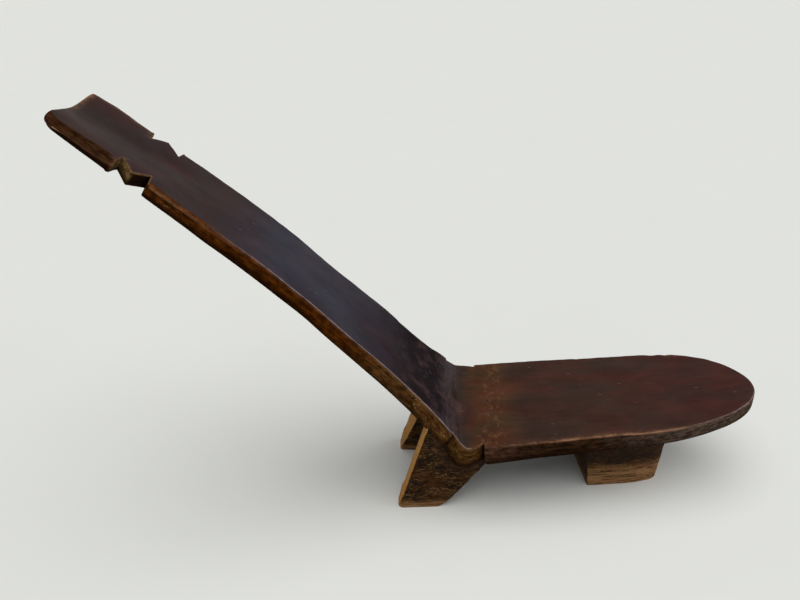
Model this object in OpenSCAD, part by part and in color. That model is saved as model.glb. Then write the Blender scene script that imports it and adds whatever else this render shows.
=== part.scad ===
// Low reclining chair carved from one piece of wood, in millimetres.
// X runs from the head end to the nose of the seat, Y across the chair, Z up from the floor.
// The carving is divided into its members, which meet face to face on shared sections of the board.

/* [Back] */
// Angle of the back above the horizontal at the crease, in degrees
back_lean = 51.4; // [46:0.2:56]
// Length of the back's upper face, from the crease to the head's corners
back_length = 816; // [760:2:880]
// Distance from the crease to where the back begins to bow more
bow_start = 360; // [260:5:460]
// Radius of the lower run's slight bow
lower_bow = 5600; // [4000:100:12000]
// Radius of the upper run's bow, which lays the head further back
upper_bow = 3300; // [2400:50:5000]
// Width of the back's body where it springs from the hips
back_width = 180; // [160:1:200]
// Extra width of each hip at the back's lower end
hip_flare = 24.5; // [10:0.5:28]
// Thickness of the back at its lower end
hip_thickness = 34; // [28:0.5:38]
// Angle of the step's face, which closes the back's lower end, in degrees from the vertical
step_angle = 38; // [30:1:46]

/* [Head and neck] */
// Width of the head and the neck
neck_width = 153; // [124:1:160]
// Thickness of the wood at the neck
neck_thickness = 24.5; // [20:0.5:28]
// Thickness of the wood at the head's end
head_thickness = 17; // [16:0.5:24]
// Length of the head above the notches
head_length = 104; // [80:1:130]
// Depth of the hollow across the head's end
head_dish = 9; // [0:0.5:14]
// Length of the hollow, from the head's end down the back
dish_length = 330; // [150:5:400]
// Depth of the concave cut in the head's end
head_end_cut = 5; // [1:0.5:12]
// Radius of the head's corner on the sitter's right
head_corner_right = 21; // [4:1:30]
// Radius of the head's corner on the sitter's left
head_corner_left = 4; // [2:1:30]
// Length of one V cut along the neck's edge
notch_length = 26.5; // [16:0.5:32]
// Depth of a V cut from the neck's edge
notch_depth = 18.5; // [8:0.5:26]
// How far a V cut's steep wall leans along the edge
notch_wall_lean = 3; // [0:0.5:8]

/* [Waist] */
// Height of the crease between back and seat above the floor
crease_height = 162; // [150:1:180]
// Width of the waist at the crease and of the seat behind its notch
waist_width = 242; // [236:1:260]
// Width of the waist at the step under the back
waist_step_width = 204; // [180:1:220]
// Distance from the crease up to the step
step_rise = 34; // [26:1:44]
// Distance from the crease forward to the seat's notch
notch_reach = 38; // [34:1:48]
// Depth of the seat's notch from the waist's edge
seat_notch_depth = 15; // [6:0.5:22]
// Thickness of the wood under the crease
waist_thickness = 46; // [40:0.5:52]
// Half length of the rounded crease
crease_blend = 14; // [6:1:22]

/* [Seat] */
// Length of the seat from the crease to its nose
seat_length = 525; // [480:5:570]
// Width of the seat where the nose begins
nose_width = 224; // [190:1:226]
// Length over which the nose is rounded
nose_length = 225; // [150:5:250]
// How far the nose's tip lies off the middle, towards the sitter's right
nose_drift = 5; // [0:1:10]
// Upward slope of the seat at the crease, in degrees
seat_slope = 3.6; // [2:0.1:5]
// Radius of the slight crown along the seat
seat_crown = 7000; // [5000:250:15000]
// Distance from the crease to where the seat begins to turn up
upturn_start = 290; // [240:5:400]
// Radius of the seat's upturn
upturn_radius = 1400; // [1000:50:3000]
// Thickness of the seat at the waist
seat_thickness = 38; // [32:0.5:40]
// Thickness of the nose
nose_thickness = 24; // [18:0.5:28]

/* [Rear legs] */
// How far in from the waist's side a leg's outer face stands at the floor
leg_inset = 22; // [18:1:30]
// How far in from the waist's side it stands at the leg's top
leg_top_inset = 15; // [13:1:24]
// Thickness of a leg at its back edge
leg_thickness = 42; // [32:1:54]
// Extra thickness of a leg at its front edge
leg_thickening = 10; // [0:1:20]
// Extra thickness of a leg at its top, where the inner faces lean together
leg_top_thickening = 56; // [0:2:60]
// Distance from the crease back to the sole's back edge
leg_back_reach = 123; // [110:1:135]
// Length of a leg's sole
leg_sole_length = 81; // [65:1:95]
// Distance from the crease up the back to the leg's top
leg_rise = 69; // [55:1:95]
// Distance from the crease forward to the leg's root under the seat
leg_root = 54; // [44:1:70]
// Width of the bevel along a leg's outer edges
leg_bevel = 9; // [3:0.5:14]

/* [Front foot] */
// Distance from the crease to the back of the foot
foot_reach = 231; // [210:1:260]
// Length of the foot's sole
foot_length = 137; // [120:1:160]
// Width of the foot's sole
foot_width = 109; // [106:1:150]
// Radius of the foot's front corners
foot_corner = 52; // [24:1:52]
// How far the front of the foot flares on its way up
foot_flare = 15; // [0:1:20]

/* [Edges] */
// Radius worn on the head's upper edges
head_round = 7; // [4:0.5:8]
// Radius worn on the upper edges of the back and the seat
edge_round = 3; // [2:0.5:6]
// Radius of the lower edges
under_round = 5; // [2:0.5:7]
// Radius of the lower edges round the waist
knuckle_round = 9; // [6:0.5:12]

/* [Hidden] */

patina = [0.20, 0.13, 0.12];
red_patina = [0.27, 0.15, 0.11];
bare_wood = [0.42, 0.29, 0.16];
// Run by which cutting shapes pass the wood they cut, and the length of those that cut right through
past_end = 20;
cutter = 600;

// Powers that set how quickly each width, thickness or hollow changes along its run
back_thinning = 1.6;
seat_thinning = 1.8;
back_taper = 0.6;
hip_swell = 11;
seat_taper = 1.3;
nose_roundness = 0.44;
dish_growth = 1.5;
drift_growth = 3;

// Places along the board are u: distance from the crease, up the back, and negative along the seat.
head_foot = back_length - head_length;
neck_foot = head_foot - 2 * notch_length;
squaring_run = 50;
square_up = step_rise + squaring_run;
nose_start = seat_length - nose_length;
lip_length = 90;
thin_from = seat_length - lip_length;
leg_stance = waist_width - 2 * leg_inset;
leg_top_stance = waist_width - 2 * leg_top_inset;

function mix(a, b, t) = a + (b - a) * t;
function part_of(u, from, to) = max(0, min(1, (u - from) / (to - from)));
function eased(t) = t * t * (3 - 2 * t);
function back_angle(u) =
    back_lean - (min(u, bow_start) / lower_bow + max(0, u - bow_start) / upper_bow) * 180 / PI;

// Upper face of the back at u: two arcs, tangent where the second begins
function back_top(u) =
    let (a = back_angle(min(u, bow_start)), b = back_angle(u))
    [-lower_bow * (sin(back_lean) - sin(a)) - upper_bow * (sin(a) - sin(b)),
     crease_height + lower_bow * (cos(a) - cos(back_lean)) + upper_bow * (cos(b) - cos(a))];

// Upper face of the seat at a distance x in front of the crease
function seat_top(x) =
    [x, crease_height + x * tan(seat_slope) - x * x / (2 * seat_crown)
        + pow(max(0, x - upturn_start), 2) / (2 * upturn_radius)];

// Upper face of the whole board, with the crease rounded by a parabola
function board_top(u) =
    u >= crease_blend ? back_top(u) :
    u <= -crease_blend ? seat_top(-u) :
    let (t = (u + crease_blend) / (2 * crease_blend))
    (1 - t) * (1 - t) * seat_top(crease_blend) + 2 * t * (1 - t) * [0, crease_height]
        + t * t * back_top(crease_blend);

// Angle of the board's section at u: it turns through the waist and squares up to the back above the step
function section_angle(u) =
    u >= square_up ? back_angle(u) :
    u >= step_rise ? mix(step_angle, back_angle(square_up), part_of(u, step_rise, square_up)) :
    step_angle * part_of(u, -notch_reach, step_rise);

function board_thickness(u) =
    u >= neck_foot ? mix(neck_thickness, head_thickness, part_of(u, neck_foot, back_length)) :
    u >= step_rise ?
        mix(neck_thickness, hip_thickness, pow(1 - part_of(u, step_rise, neck_foot), back_thinning)) :
    u >= 0 ? mix(waist_thickness, hip_thickness, eased(u / step_rise)) :
    u >= -notch_reach ? mix(waist_thickness, seat_thickness, eased(-u / notch_reach)) :
    mix(seat_thickness, nose_thickness, pow(part_of(-u, notch_reach, thin_from), seat_thinning));

function down(u) = [-sin(section_angle(u)), -cos(section_angle(u))];
function board_under(u) = board_top(u) + board_thickness(u) * down(u);

// Half widths of the members along the board
function back_half(u) =
    let (t = 1 - part_of(u, step_rise, neck_foot))
    mix(neck_width, back_width, pow(t, back_taper)) / 2 + hip_flare * pow(t, hip_swell);
waist_draw_in = 2;
function waist_half(u) =
    u >= 0 ? mix(waist_width, waist_step_width, u / step_rise) / 2 :
    waist_width / 2 - waist_draw_in * pow(u / notch_reach, 2);
function seat_half(x) =
    x <= nose_start ?
        mix(waist_width, nose_width, pow(part_of(x, notch_reach, nose_start), seat_taper)) / 2 :
        nose_width / 2 * pow(1 - pow((x - nose_start) / nose_length, 2), nose_roundness);
function dish(u) = head_dish * pow(part_of(u, back_length - dish_length, back_length), dish_growth);
function top_round(u) = mix(edge_round, head_round, part_of(u, bow_start, head_foot));

// Half of a section, from the lower edge round to the middle of the upper face, as [across, depth]
arc_steps = 4;
face_steps = 5;
function half_section(half, depth, top_r, under_r, hollow, lift = 0) = concat(
    [for (i = [0:arc_steps]) let (a = 90 * i / arc_steps)
        [half - under_r + under_r * sin(a), depth - lift - under_r + under_r * cos(a)]],
    [for (i = [0:arc_steps]) let (a = 90 * i / arc_steps)
        [half - top_r + top_r * cos(a), lift + top_r - top_r * sin(a)]],
    [for (i = [1:face_steps]) let (f = 1 - i / face_steps)
        [(half - top_r) * f, lift + hollow * (1 - f * f)]]);

// A whole section as points in space: the half section, and its mirror image
function ring(u, half_points, drift = 0) =
    let (top = board_top(u), d = down(u), last = len(half_points) - 1,
         across = concat(half_points, [for (i = [last - 1:-1:0]) [-half_points[i][0], half_points[i][1]]]))
    [for (p = across) [top[0] + d[0] * p[1], -drift - p[0], top[1] + d[1] * p[1]]];

// A closed solid through a list of rings, ordered from the head towards the nose
module loft(rings) {
    count = len(rings[0]);
    ends = len(rings) - 1;
    polyhedron(
        points = [for (r = rings) each r],
        faces = concat(
            [for (i = [0:ends - 1], j = [0:count - 1])
                [i * count + j, i * count + (j + 1) % count, (i + 1) * count + j]],
            [for (i = [0:ends - 1], j = [0:count - 1])
                [i * count + (j + 1) % count, (i + 1) * count + (j + 1) % count, (i + 1) * count + j]],
            [[for (j = [count - 1:-1:0]) j]],
            [[for (j = [0:count - 1]) ends * count + j]]));
}

// Places a child drawn in plan, X along the board and Y across, through the board at u
module at_board(u) {
    top = board_top(u);
    translate([top[0], 0, top[1]]) rotate([0, section_angle(u), 0]) children();
}

function back_ring(u) =
    ring(u, half_section(back_half(u), board_thickness(u), top_round(u), under_round, dish(u)));

// Wood to cut from a square corner at the origin to round it
module corner_waste(radius) {
    difference() {
        translate([-1, -1]) square(radius + 1);
        translate([radius, radius]) circle(r = radius, $fn = 48);
    }
}

// Dished head in plan, its end cut concave with one corner worn round
head_steps = 8;
module head_outline() {
    half = neck_width / 2;
    cut_radius = (half * half + head_end_cut * head_end_cut) / (2 * head_end_cut);
    difference() {
        translate([-head_length, -half - 1]) square([head_length + past_end, 2 * half + 2]);
        translate([-head_length, -half]) corner_waste(head_corner_right);
        mirror([0, 1]) translate([-head_length, -half]) corner_waste(head_corner_left);
        translate([-head_length - cut_radius + head_end_cut, 0]) circle(r = cut_radius, $fn = 180);
    }
}

module head_rest() {
    color(patina)
        intersection() {
            loft([for (i = [head_steps:-1:0]) back_ring(mix(head_foot, back_length, i / head_steps))]);
            at_board(head_foot) linear_extrude(cutter, center = true) head_outline();
        }
}

// One V cut, drawn with its steep wall at the origin and its flank running in the direction side
neck_steps = 3;
module v_cut(side) {
    reach = 12;
    slope = notch_depth / (notch_length - notch_wall_lean);
    linear_extrude(cutter, center = true)
        polygon([[0, 0], [-side * notch_wall_lean, 0], [side * notch_wall_lean, -notch_depth],
                 [side * notch_length, 0], [side * (notch_length + reach / slope), reach], [0, reach]]);
}

module toothed_neck() {
    middle = head_foot - notch_length;
    half = neck_width / 2;
    color(patina)
        difference() {
            loft([for (i = [neck_steps:-1:0]) back_ring(mix(neck_foot, head_foot, i / neck_steps))]);
            for (across = [0, 1]) mirror([0, across, 0]) at_board(middle) {
                translate([-notch_length, half]) v_cut(1);
                translate([notch_length, half]) v_cut(-1);
            }
        }
}

// The back's sections stand closer together towards the hips
back_steps = 26;
crowding = 1.3;
module back_slab() {
    color(patina)
        loft([for (i = [back_steps:-1:0])
            back_ring(mix(step_rise, neck_foot, pow(i / back_steps, crowding)))]);
}

// Sections of the waist, from the step under the back to the seat's notch
function waist_places() = concat(
    [for (t = [1, 0.8, 0.6, 0.41]) t * step_rise],
    [for (t = [0.75, 0.5, 0.25, 0, -0.25, -0.5, -0.75]) t * crease_blend],
    [for (t = [0.37, 0.58, 0.8, 1]) -t * notch_reach]);
function waist_ring(u) = ring(u, half_section(
    waist_half(u) - seat_notch_depth * part_of(-u, 0.8 * notch_reach, notch_reach),
    board_thickness(u), edge_round, knuckle_round, 0));

module waist() {
    color(patina) loft([for (u = waist_places()) waist_ring(u)]);
}

// Sections of the seat, evenly spaced as far as the nose and then by equal angles round it
seat_steps = 12;
nose_steps = 16;
function seat_places() = concat(
    [for (i = [0:seat_steps - 1]) mix(notch_reach, nose_start, i / seat_steps)],
    [for (i = [0:nose_steps - 1]) nose_start + nose_length * sin(90 * i / nose_steps)]);
nose_tip_half = 10;
nose_tip_lift = 1.5;
function seat_ring(x, half, lift = 0) =
    ring(-x, half_section(half, board_thickness(-x), edge_round, edge_round, 0, lift),
         nose_drift * pow(part_of(x, nose_start, seat_length), drift_growth));
module seat_slab() {
    color(red_patina)
        loft(concat([for (x = seat_places()) seat_ring(x, seat_half(x))],
                    [seat_ring(seat_length, nose_tip_half, nose_tip_lift)]));
}

// Underside of the board between two places, with a point at each section of the solids above
function section_places() = concat(waist_places(), [for (x = seat_places()) -x]);
function under_places(from, to) = concat(
    [from], [for (u = section_places()) if (u < from && u > to) u], [to]);
function under_line(from, to) = [for (u = under_places(from, to)) board_under(u)];

// A solid drawn in side view, X and Z, and extruded across from y = low to y = high
module side_prism(low, high) {
    translate([0, high, 0]) rotate([90, 0, 0]) linear_extrude(high - low) children();
}

// Where a leg's inner face stands on the floor
function leg_inner(x) = leg_stance / 2 - leg_thickness
    - leg_thickening * (x + leg_back_reach) / (leg_back_reach + leg_root);

// The space outside a leg's inner face, which leans in as it rises
module outside_inner_face(height) {
    behind = -leg_back_reach - past_end;
    before = leg_root + past_end;
    loft([for (rise = [0, 1])
        [[behind, waist_width, rise * height],
         [before, waist_width, rise * height],
         [before, leg_inner(before) - rise * leg_top_thickening, rise * height],
         [behind, leg_inner(behind) - rise * leg_top_thickening, rise * height]]]);
}

// The leg on the sitter's left: a leaning plate that follows the underside of the bend
module rear_leg() {
    outer = leg_stance / 2;
    outer_top = leg_top_stance / 2;
    back_root = board_under(leg_rise);
    front_root = board_under(-leg_root);
    toe = leg_sole_length - leg_back_reach;
    difference() {
        intersection() {
            side_prism(0, waist_width)
                polygon(concat([[toe, 0], [-leg_back_reach, 0]], under_line(leg_rise, -leg_root)));
            rotate([90, 0, 90]) linear_extrude(cutter, center = true)
                polygon([[0, 0], [outer, 0], [outer_top, back_root[1]],
                         [outer_top, back_root[1] + past_end], [0, back_root[1] + past_end]]);
            outside_inner_face(back_root[1] + past_end);
        }
        leg_edge_waste(-leg_back_reach, back_root);
        leg_edge_waste(toe, front_root);
    }
}

// Wood to cut along a leg's outer edge, from the sole at foot_x up to the root
module leg_edge_waste(foot_x, root) {
    lean = atan2(root[0] - foot_x, root[1]);
    spread = atan2((leg_top_stance - leg_stance) / 2, root[1]);
    translate([foot_x, leg_stance / 2, 0]) rotate([-spread, lean, 0]) rotate([0, 0, 45])
        cube([leg_bevel, leg_bevel, cutter], center = true);
}

module rear_leg_left() {
    color(bare_wood) rear_leg();
}

module rear_leg_right() {
    color(bare_wood) mirror([0, 1, 0]) rear_leg();
}

// Front foot: a block with round front corners, flaring up to the seat's underside
module foot_plan() {
    half = foot_width / 2;
    front = foot_reach + foot_length;
    polygon(concat(
        [[foot_reach - past_end, -half]],
        [for (a = [0:10:90]) [front - foot_corner + foot_flare + foot_corner * sin(a),
                              -half + foot_corner - foot_corner * cos(a)]],
        [for (a = [90:-10:0]) [front - foot_corner + foot_flare + foot_corner * sin(a),
                               half - foot_corner + foot_corner * cos(a)]],
        [[foot_reach - past_end, half]]));
}

module front_foot() {
    front = foot_reach + foot_length;
    color(bare_wood)
        intersection() {
            linear_extrude(cutter) foot_plan();
            side_prism(-foot_width, foot_width)
                polygon(concat([[front, 0], [foot_reach, 0]],
                               under_line(-foot_reach, -front - foot_flare)));
        }
}

// The frame's origin is on the floor, under the middle of the chair's length
head_end_x = board_under(back_length)[0];
middle_x = (head_end_x + seat_length) / 2;

module in_frame() {
    translate([-middle_x, 0, 0]) children();
}

in_frame() head_rest();
in_frame() toothed_neck();
in_frame() back_slab();
in_frame() waist();
in_frame() seat_slab();
in_frame() rear_leg_left();
in_frame() rear_leg_right();
in_frame() front_foot();
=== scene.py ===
"""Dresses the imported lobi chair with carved, worn wood over every member.

Places along the board are u, in metres: the distance from the crease, up the back, and negative along the
seat. Across the chair y is negative on the near side, the sitter's right, and depth is measured into the
wood from the board's upper face.
"""

import math

import bpy
import numpy as np
from bpy.props import FloatProperty, FloatVectorProperty, IntProperty, PointerProperty
from bpy.types import Operator, Panel, PropertyGroup
from mathutils import Matrix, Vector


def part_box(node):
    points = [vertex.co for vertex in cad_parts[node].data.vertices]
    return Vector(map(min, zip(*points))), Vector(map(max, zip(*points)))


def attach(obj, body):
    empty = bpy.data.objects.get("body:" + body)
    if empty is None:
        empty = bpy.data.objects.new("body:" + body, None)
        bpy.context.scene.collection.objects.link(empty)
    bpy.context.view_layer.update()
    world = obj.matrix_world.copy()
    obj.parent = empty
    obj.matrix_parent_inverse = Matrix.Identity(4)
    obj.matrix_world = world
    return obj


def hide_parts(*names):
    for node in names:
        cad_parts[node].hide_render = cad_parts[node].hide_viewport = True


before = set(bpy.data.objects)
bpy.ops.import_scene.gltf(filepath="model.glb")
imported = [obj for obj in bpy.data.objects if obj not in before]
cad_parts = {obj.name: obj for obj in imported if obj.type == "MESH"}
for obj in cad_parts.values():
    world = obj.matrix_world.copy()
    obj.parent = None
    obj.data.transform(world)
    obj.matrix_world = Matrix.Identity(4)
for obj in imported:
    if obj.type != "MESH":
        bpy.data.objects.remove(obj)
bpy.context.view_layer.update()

bl_info = {
    "name": "Lobi chair",
    "version": (1, 0, 0),
    "blender": (4, 5, 0),
    "location": "3D View > Sidebar > Lobi chair",
    "description": "Carves and finishes a low reclining chair made from one piece of wood",
    "category": "Object",
}

NEAR, FAR = -1, 1


def length(name, description, default):
    return FloatProperty(name=name, description=description, default=default, unit="LENGTH", precision=4)


def angle(name, description, degrees):
    return FloatProperty(name=name, description=description, default=math.radians(degrees), unit="ROTATION")


def share(name, description, default):
    limits = {"min": 0.0, "max": 1.0, "subtype": "FACTOR"}
    return FloatProperty(name=name, description=description, default=default, **limits)


def positive(name, description, default):
    return FloatProperty(name=name, description=description, default=default, min=0.0)


def tone(name, description, red, green, blue):
    return FloatVectorProperty(
        name=name, description=description, default=(red, green, blue), min=0.0, max=1.0, subtype="COLOR"
    )


class BackSizes(PropertyGroup):
    lean: angle("Lean", "Angle of the back above the horizontal at the crease", 51.4)
    bow_start: length("Bow start", "Distance from the crease to where the back bows more", 0.360)
    lower_bow: length("Lower bow", "Radius of the lower run", 5.600)
    upper_bow: length("Upper bow", "Radius of the upper run", 3.300)
    width: length("Width", "Width of the back where it springs from the hips", 0.180)
    hip_flare: length("Hip flare", "Extra width of each hip at the lower end", 0.0245)
    thickness: length("Thickness", "Thickness of the back at its lower end", 0.0322)
    arris: length("Arris", "Radius worn on the upper edges of the lower back", 0.0026)
    upper_arris: length("Upper arris", "Radius worn on the upper edges under the neck", 0.0055)
    under_arris: length("Under arris", "Radius of the lower edges", 0.0045)
    step_rise: length("Step rise", "Distance from the crease up to the step", 0.032)
    step_angle: angle("Step angle", "Angle of the step's face from the vertical", 38)


class HeadSizes(PropertyGroup):
    reach: length("Reach", "Distance from the crease to the head's corners", 0.816)
    length: length("Length", "Length of the head above the cuts", 0.1065)
    width: length("Width", "Width of the head and the neck", 0.1545)
    neck_thickness: length("Neck thickness", "Thickness of the wood at the neck", 0.0254)
    end_thickness: length("End thickness", "Thickness of the wood at the head's end", 0.0160)
    dish: length("Dish", "Depth of the hollow across the head's end", 0.0105)
    far_bow: length("Far bow", "How far the edge on the sitter's left bows outwards", 0.0042)
    dish_shift: length("Dish shift", "How far the hollow lies off the middle, to the sitter's left", 0.0145)
    dish_width: length("Dish width", "Half width of the hollow", 0.042)
    dish_length: length("Dish length", "Length of the hollow down the back", 0.330)
    end_cut: length("End cut", "Depth of the concave cut in the head's end", 0.001)
    near_corner: length("Near corner", "Radius of the corner on the sitter's right", 0.019)
    far_corner: length("Far corner", "Radius of the corner on the sitter's left", 0.004)
    near_arris: length("Near arris", "Radius worn on the edge on the sitter's right", 0.0105)
    far_arris: length("Far arris", "Radius worn on the edge on the sitter's left", 0.004)
    end_arris: length("End arris", "Radius worn on the head's end", 0.0025)
    cut_length: length("Cut length", "Length of one V cut along the neck's edge", 0.0270)
    near_cut: length("Near cut", "Depth of the V cuts on the sitter's right", 0.0235)
    far_cut: length("Far cut", "Depth of the V cuts on the sitter's left", 0.0190)
    near_wall: length("Near wall", "Run of a near cut's steep wall along the edge", 0.0045)
    far_wall: length("Far wall", "Run of a far cut's steep wall along the edge", 0.0025)
    cut_arris: length("Cut arris", "Radius on the edges of the cuts", 0.0012)


class WaistSizes(PropertyGroup):
    crease_height: length("Crease height", "Height of the crease above the floor", 0.162)
    width: length("Width", "Width of the waist at the crease", 0.245)
    step_width: length("Step width", "Width of the waist at the step under the back", 0.217)
    undercut: length("Undercut", "How far the waist's side is hollowed under the step", 0.008)
    reach: length("Reach", "Distance from the crease to the seat's notch", 0.0345)
    curl: length("Curl", "Distance from the crease to where the edge curls into the notch", 0.012)
    near_notch: length("Near notch", "Depth of the seat's notch on the sitter's right", 0.0130)
    far_notch: length("Far notch", "Depth of the seat's notch on the sitter's left", 0.0070)
    thickness: length("Thickness", "Thickness of the wood under the crease", 0.046)
    blend: length("Crease blend", "Half length of the rounded crease", 0.014)
    knuckle: length("Knuckle", "Radius of the lower edges round the waist", 0.0115)


class SeatSizes(PropertyGroup):
    width: length("Width", "Width of the seat at its notch", 0.243)
    nose_start: length("Nose start", "Distance from the crease to where the nose begins", 0.260)
    near_nose: length("Near nose", "Half width of the nose on the sitter's right", 0.1112)
    far_nose: length("Far nose", "Half width of the nose on the sitter's left", 0.1160)
    nose_skew: share("Nose skew", "How much further the nose reaches on the right, per width", 0.06)
    worn_back: length("Worn back", "How far the nose is worn back from the packed tip", 0.0034)
    slope: angle("Slope", "Upward slope of the seat at the crease", 3.6)
    crown: length("Crown", "Radius of the slight crown along the seat", 7.0)
    upturn_start: length("Upturn start", "Distance from the crease to where the seat turns up", 0.290)
    upturn_radius: length("Upturn radius", "Radius of the seat's upturn", 1.4)
    reach: length("Reach", "Distance from the crease to the packed seat's tip", 0.525)
    thickness: length("Thickness", "Thickness of the seat past its root", 0.038)
    root: length("Root", "Extra thickness of the seat at its notch", 0.0035)
    nose_thickness: length("Nose thickness", "Thickness of the nose", 0.0275)
    lip: length("Lip", "Length of the nose's thin rim", 0.090)
    arris: length("Arris", "Radius worn on the seat's upper edge", 0.0018)
    under_arris: length("Under arris", "Radius of the seat's lower edge", 0.0022)


class LegSizes(PropertyGroup):
    inset: length("Inset", "How far in from the packed waist's side a leg stands at the floor", 0.0210)
    top_inset: length("Top inset", "How far in from the packed waist's side it stands at its top", 0.015)
    thickness: length("Thickness", "Thickness of a leg at its back edge", 0.042)
    thickening: length("Thickening", "Extra thickness of a leg at its front edge", 0.010)
    top_thickening: length("Top thickening", "Extra thickness of a leg at its top", 0.056)
    back_reach: length("Back reach", "Distance from the crease back to the sole's back edge", 0.1252)
    sole_length: length("Sole length", "Length of a leg's sole", 0.0845)
    near_rise: length("Near rise", "Distance from the crease up the back to the near leg's top", 0.067)
    far_rise: length("Far rise", "Distance from the crease up the back to the far leg's top", 0.058)
    root: length("Root", "Distance from the crease forward to the leg's root", 0.054)
    arris: length("Arris", "How far a leg's long edges are rounded", 0.0025)
    near_roll: length("Near roll", "How far the near leg's back edge is rolled in at its sole", 0.013)
    near_roll_top: length("Near roll, top", "How far that edge is rolled in at the leg's top", 0.044)
    heel_kick: length("Heel kick", "How far a leg's back edge kicks out above its sole", 0.0020)
    sole_corner: length("Sole corner", "How far the corners of the sole are worn round", 0.010)


class FootSizes(PropertyGroup):
    reach: length("Reach", "Distance from the crease to the back of the foot", 0.233)
    skew: length("Skew", "How much further back the far end of the back face stands", 0.008)
    length: length("Length", "Length of the foot's sole", 0.136)
    width: length("Width", "Width of the foot's sole", 0.109)
    near_swing: length("Near swing", "How far the near corner at the back stands out sideways", 0.004)
    front_width: length("Front width", "Width of the foot's front face", 0.077)
    shoulder: length("Shoulder", "Distance from the front face back to where the sides draw in", 0.047)
    flare: length("Flare", "How far the front of the foot flares on its way up", 0.018)
    back_flare: length("Back flare", "How far the back of the foot flares on its way up", 0.011)
    arris: length("Arris", "How far the foot's back corners are rounded", 0.003)


class CarvingSizes(PropertyGroup):
    scoop: length("Scoop", "Width of one adze mark", 0.024)
    scoop_depth: length("Scoop depth", "Depth of an adze mark on the roughest wood", 0.0013)
    wander: length("Wander", "How far the smooth faces wander from true", 0.0005)
    nick: length("Nick", "Depth of the nicks along the worn edges", 0.0010)
    seed: IntProperty(name="Seed", description="Where the adze marks and nicks fall", default=7)


class WoodTones(PropertyGroup):
    head: tone("Head", "Polished face of the head", 0.0205, 0.0076, 0.0068)
    upper_back: tone("Upper back", "Polished face of the upper back", 0.0188, 0.0052, 0.0058)
    # Bluish tone painted on the middle of the back: a painted reflection of the pale surroundings
    painted_sheen: tone("Painted sheen", "Bluish face of the middle of the back", 0.0118, 0.0085, 0.0205)
    low_back: tone("Low back", "Polished face of the lower back", 0.015, 0.0082, 0.015)
    hip: tone("Hip", "Polished face of the hips", 0.0072, 0.0036, 0.0056)
    mottle: tone("Mottle", "Reddish mottling over the hips", 0.052, 0.028, 0.028)
    crease: tone("Crease", "Face in and above the crease", 0.034, 0.017, 0.013)
    bend: tone("Bend", "Rubbed face of the seat beside the crease", 0.058, 0.024, 0.012)
    ember: tone("Ember", "Band across the seat worn to orange-brown", 0.190, 0.080, 0.034)
    seat: tone("Seat", "Polished face of the seat", 0.039, 0.0158, 0.011)
    nose: tone("Nose", "Polished face of the nose", 0.0435, 0.0142, 0.0112)
    # Lighter, bluish tone above the crease: partly a painted sheen; the scuff strokes laid over it are the
    # wood's own
    above_crease: tone("Above crease", "Scuffed face just above the crease", 0.043, 0.03, 0.0335)
    # Pale bluish line painted along the rounded upper edges: a painted highlight
    painted_highlight: tone("Painted highlight", "Bright line along the polished edges", 0.2, 0.2, 0.26)
    rubbed: tone("Rubbed edge", "Wood laid bare along the worn edges", 0.360, 0.180, 0.100)
    scuff: tone("Scuff", "Pale scuffs and scratches", 0.200, 0.130, 0.105)
    # Dark tone used as painted shade in the cuts, under the step, in the seat's notch, under the board and
    # low on its sides; the seat's pits use it too
    soot: tone("Painted shade", "Dark dirt in the cuts and under the step", 0.010, 0.004, 0.002)
    nose_side: tone("Nose side", "Side of the nose", 0.072, 0.048, 0.036)
    seat_side: tone("Seat side", "Side of the seat", 0.0265, 0.012, 0.006)
    notch_side: tone("Notch side", "Side of the seat beside its notch", 0.060, 0.0270, 0.0160)
    roll: tone("Roll", "Side of the waist", 0.07, 0.032, 0.009)
    hip_side: tone("Hip side", "Side of the back beside the legs", 0.064, 0.0275, 0.008)
    back_side: tone("Back side", "Side of the back", 0.056, 0.0155, 0.0018)
    # Paler tone on the walls of the neck's cuts: painted light on walls turned to the lamp; the lower cut
    # is then covered with painted shade
    painted_light_neck_walls: tone("Neck side", "Walls of the neck's cuts", 0.105, 0.062, 0.024)
    head_side: tone("Head side", "Side of the head", 0.031, 0.012, 0.0047)
    adzed: tone("Adzed wood", "Face of the legs and the foot", 0.045, 0.0165, 0.0038)
    adzed_dark: tone("Adzed wood, dark", "Dark stains on the legs and the foot", 0.012, 0.0048, 0.0017)
    # Dark tone for the painted shade on the legs and the foot under the seat
    painted_shade_adzed: tone("Painted shade on adzed wood", "Darkened wood under the seat", 0.026, 0.0145, 0.0092)
    scratch: tone("Scratch", "Golden scratches left by the tool", 0.52, 0.31, 0.115)
    # Paler tone on the legs' back faces: partly bare wood, partly painted light on the faces turned to the
    # left
    bare: tone("Bare wood", "Paler back faces of the legs", 0.52, 0.245, 0.062)
    sole: tone("Sole", "Wood rubbed bare round the soles", 0.36, 0.185, 0.08)


class StageSizes(PropertyGroup):
    floor: length("Floor", "Width of the floor", 80.0)
    floor_tone: tone("Floor tone", "Colour of the floor and the backdrop", 0.760, 0.766, 0.730)
    sky: share("Sky", "Strength of the even light from all round", 0.19)
    lamp: positive("Lamp", "Strength of the wide lamp overhead", 2.05)
    lamp_lean: angle("Lamp lean", "How far the wide lamp leans towards the viewer from overhead", 12)
    lamp_spread: angle("Lamp spread", "Angle that the wide lamp fills", 64)
    right_lamp: positive("Right lamp", "Strength of the lamp at the right", 1.15)
    side_lean: angle("Side lean", "How far the lamp at the right leans from overhead", 62)
    side_spread: angle("Side spread", "Angle that the lamp at the right fills", 60)
    focal: positive("Focal length", "Focal length in millimetres", 27.9)


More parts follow.
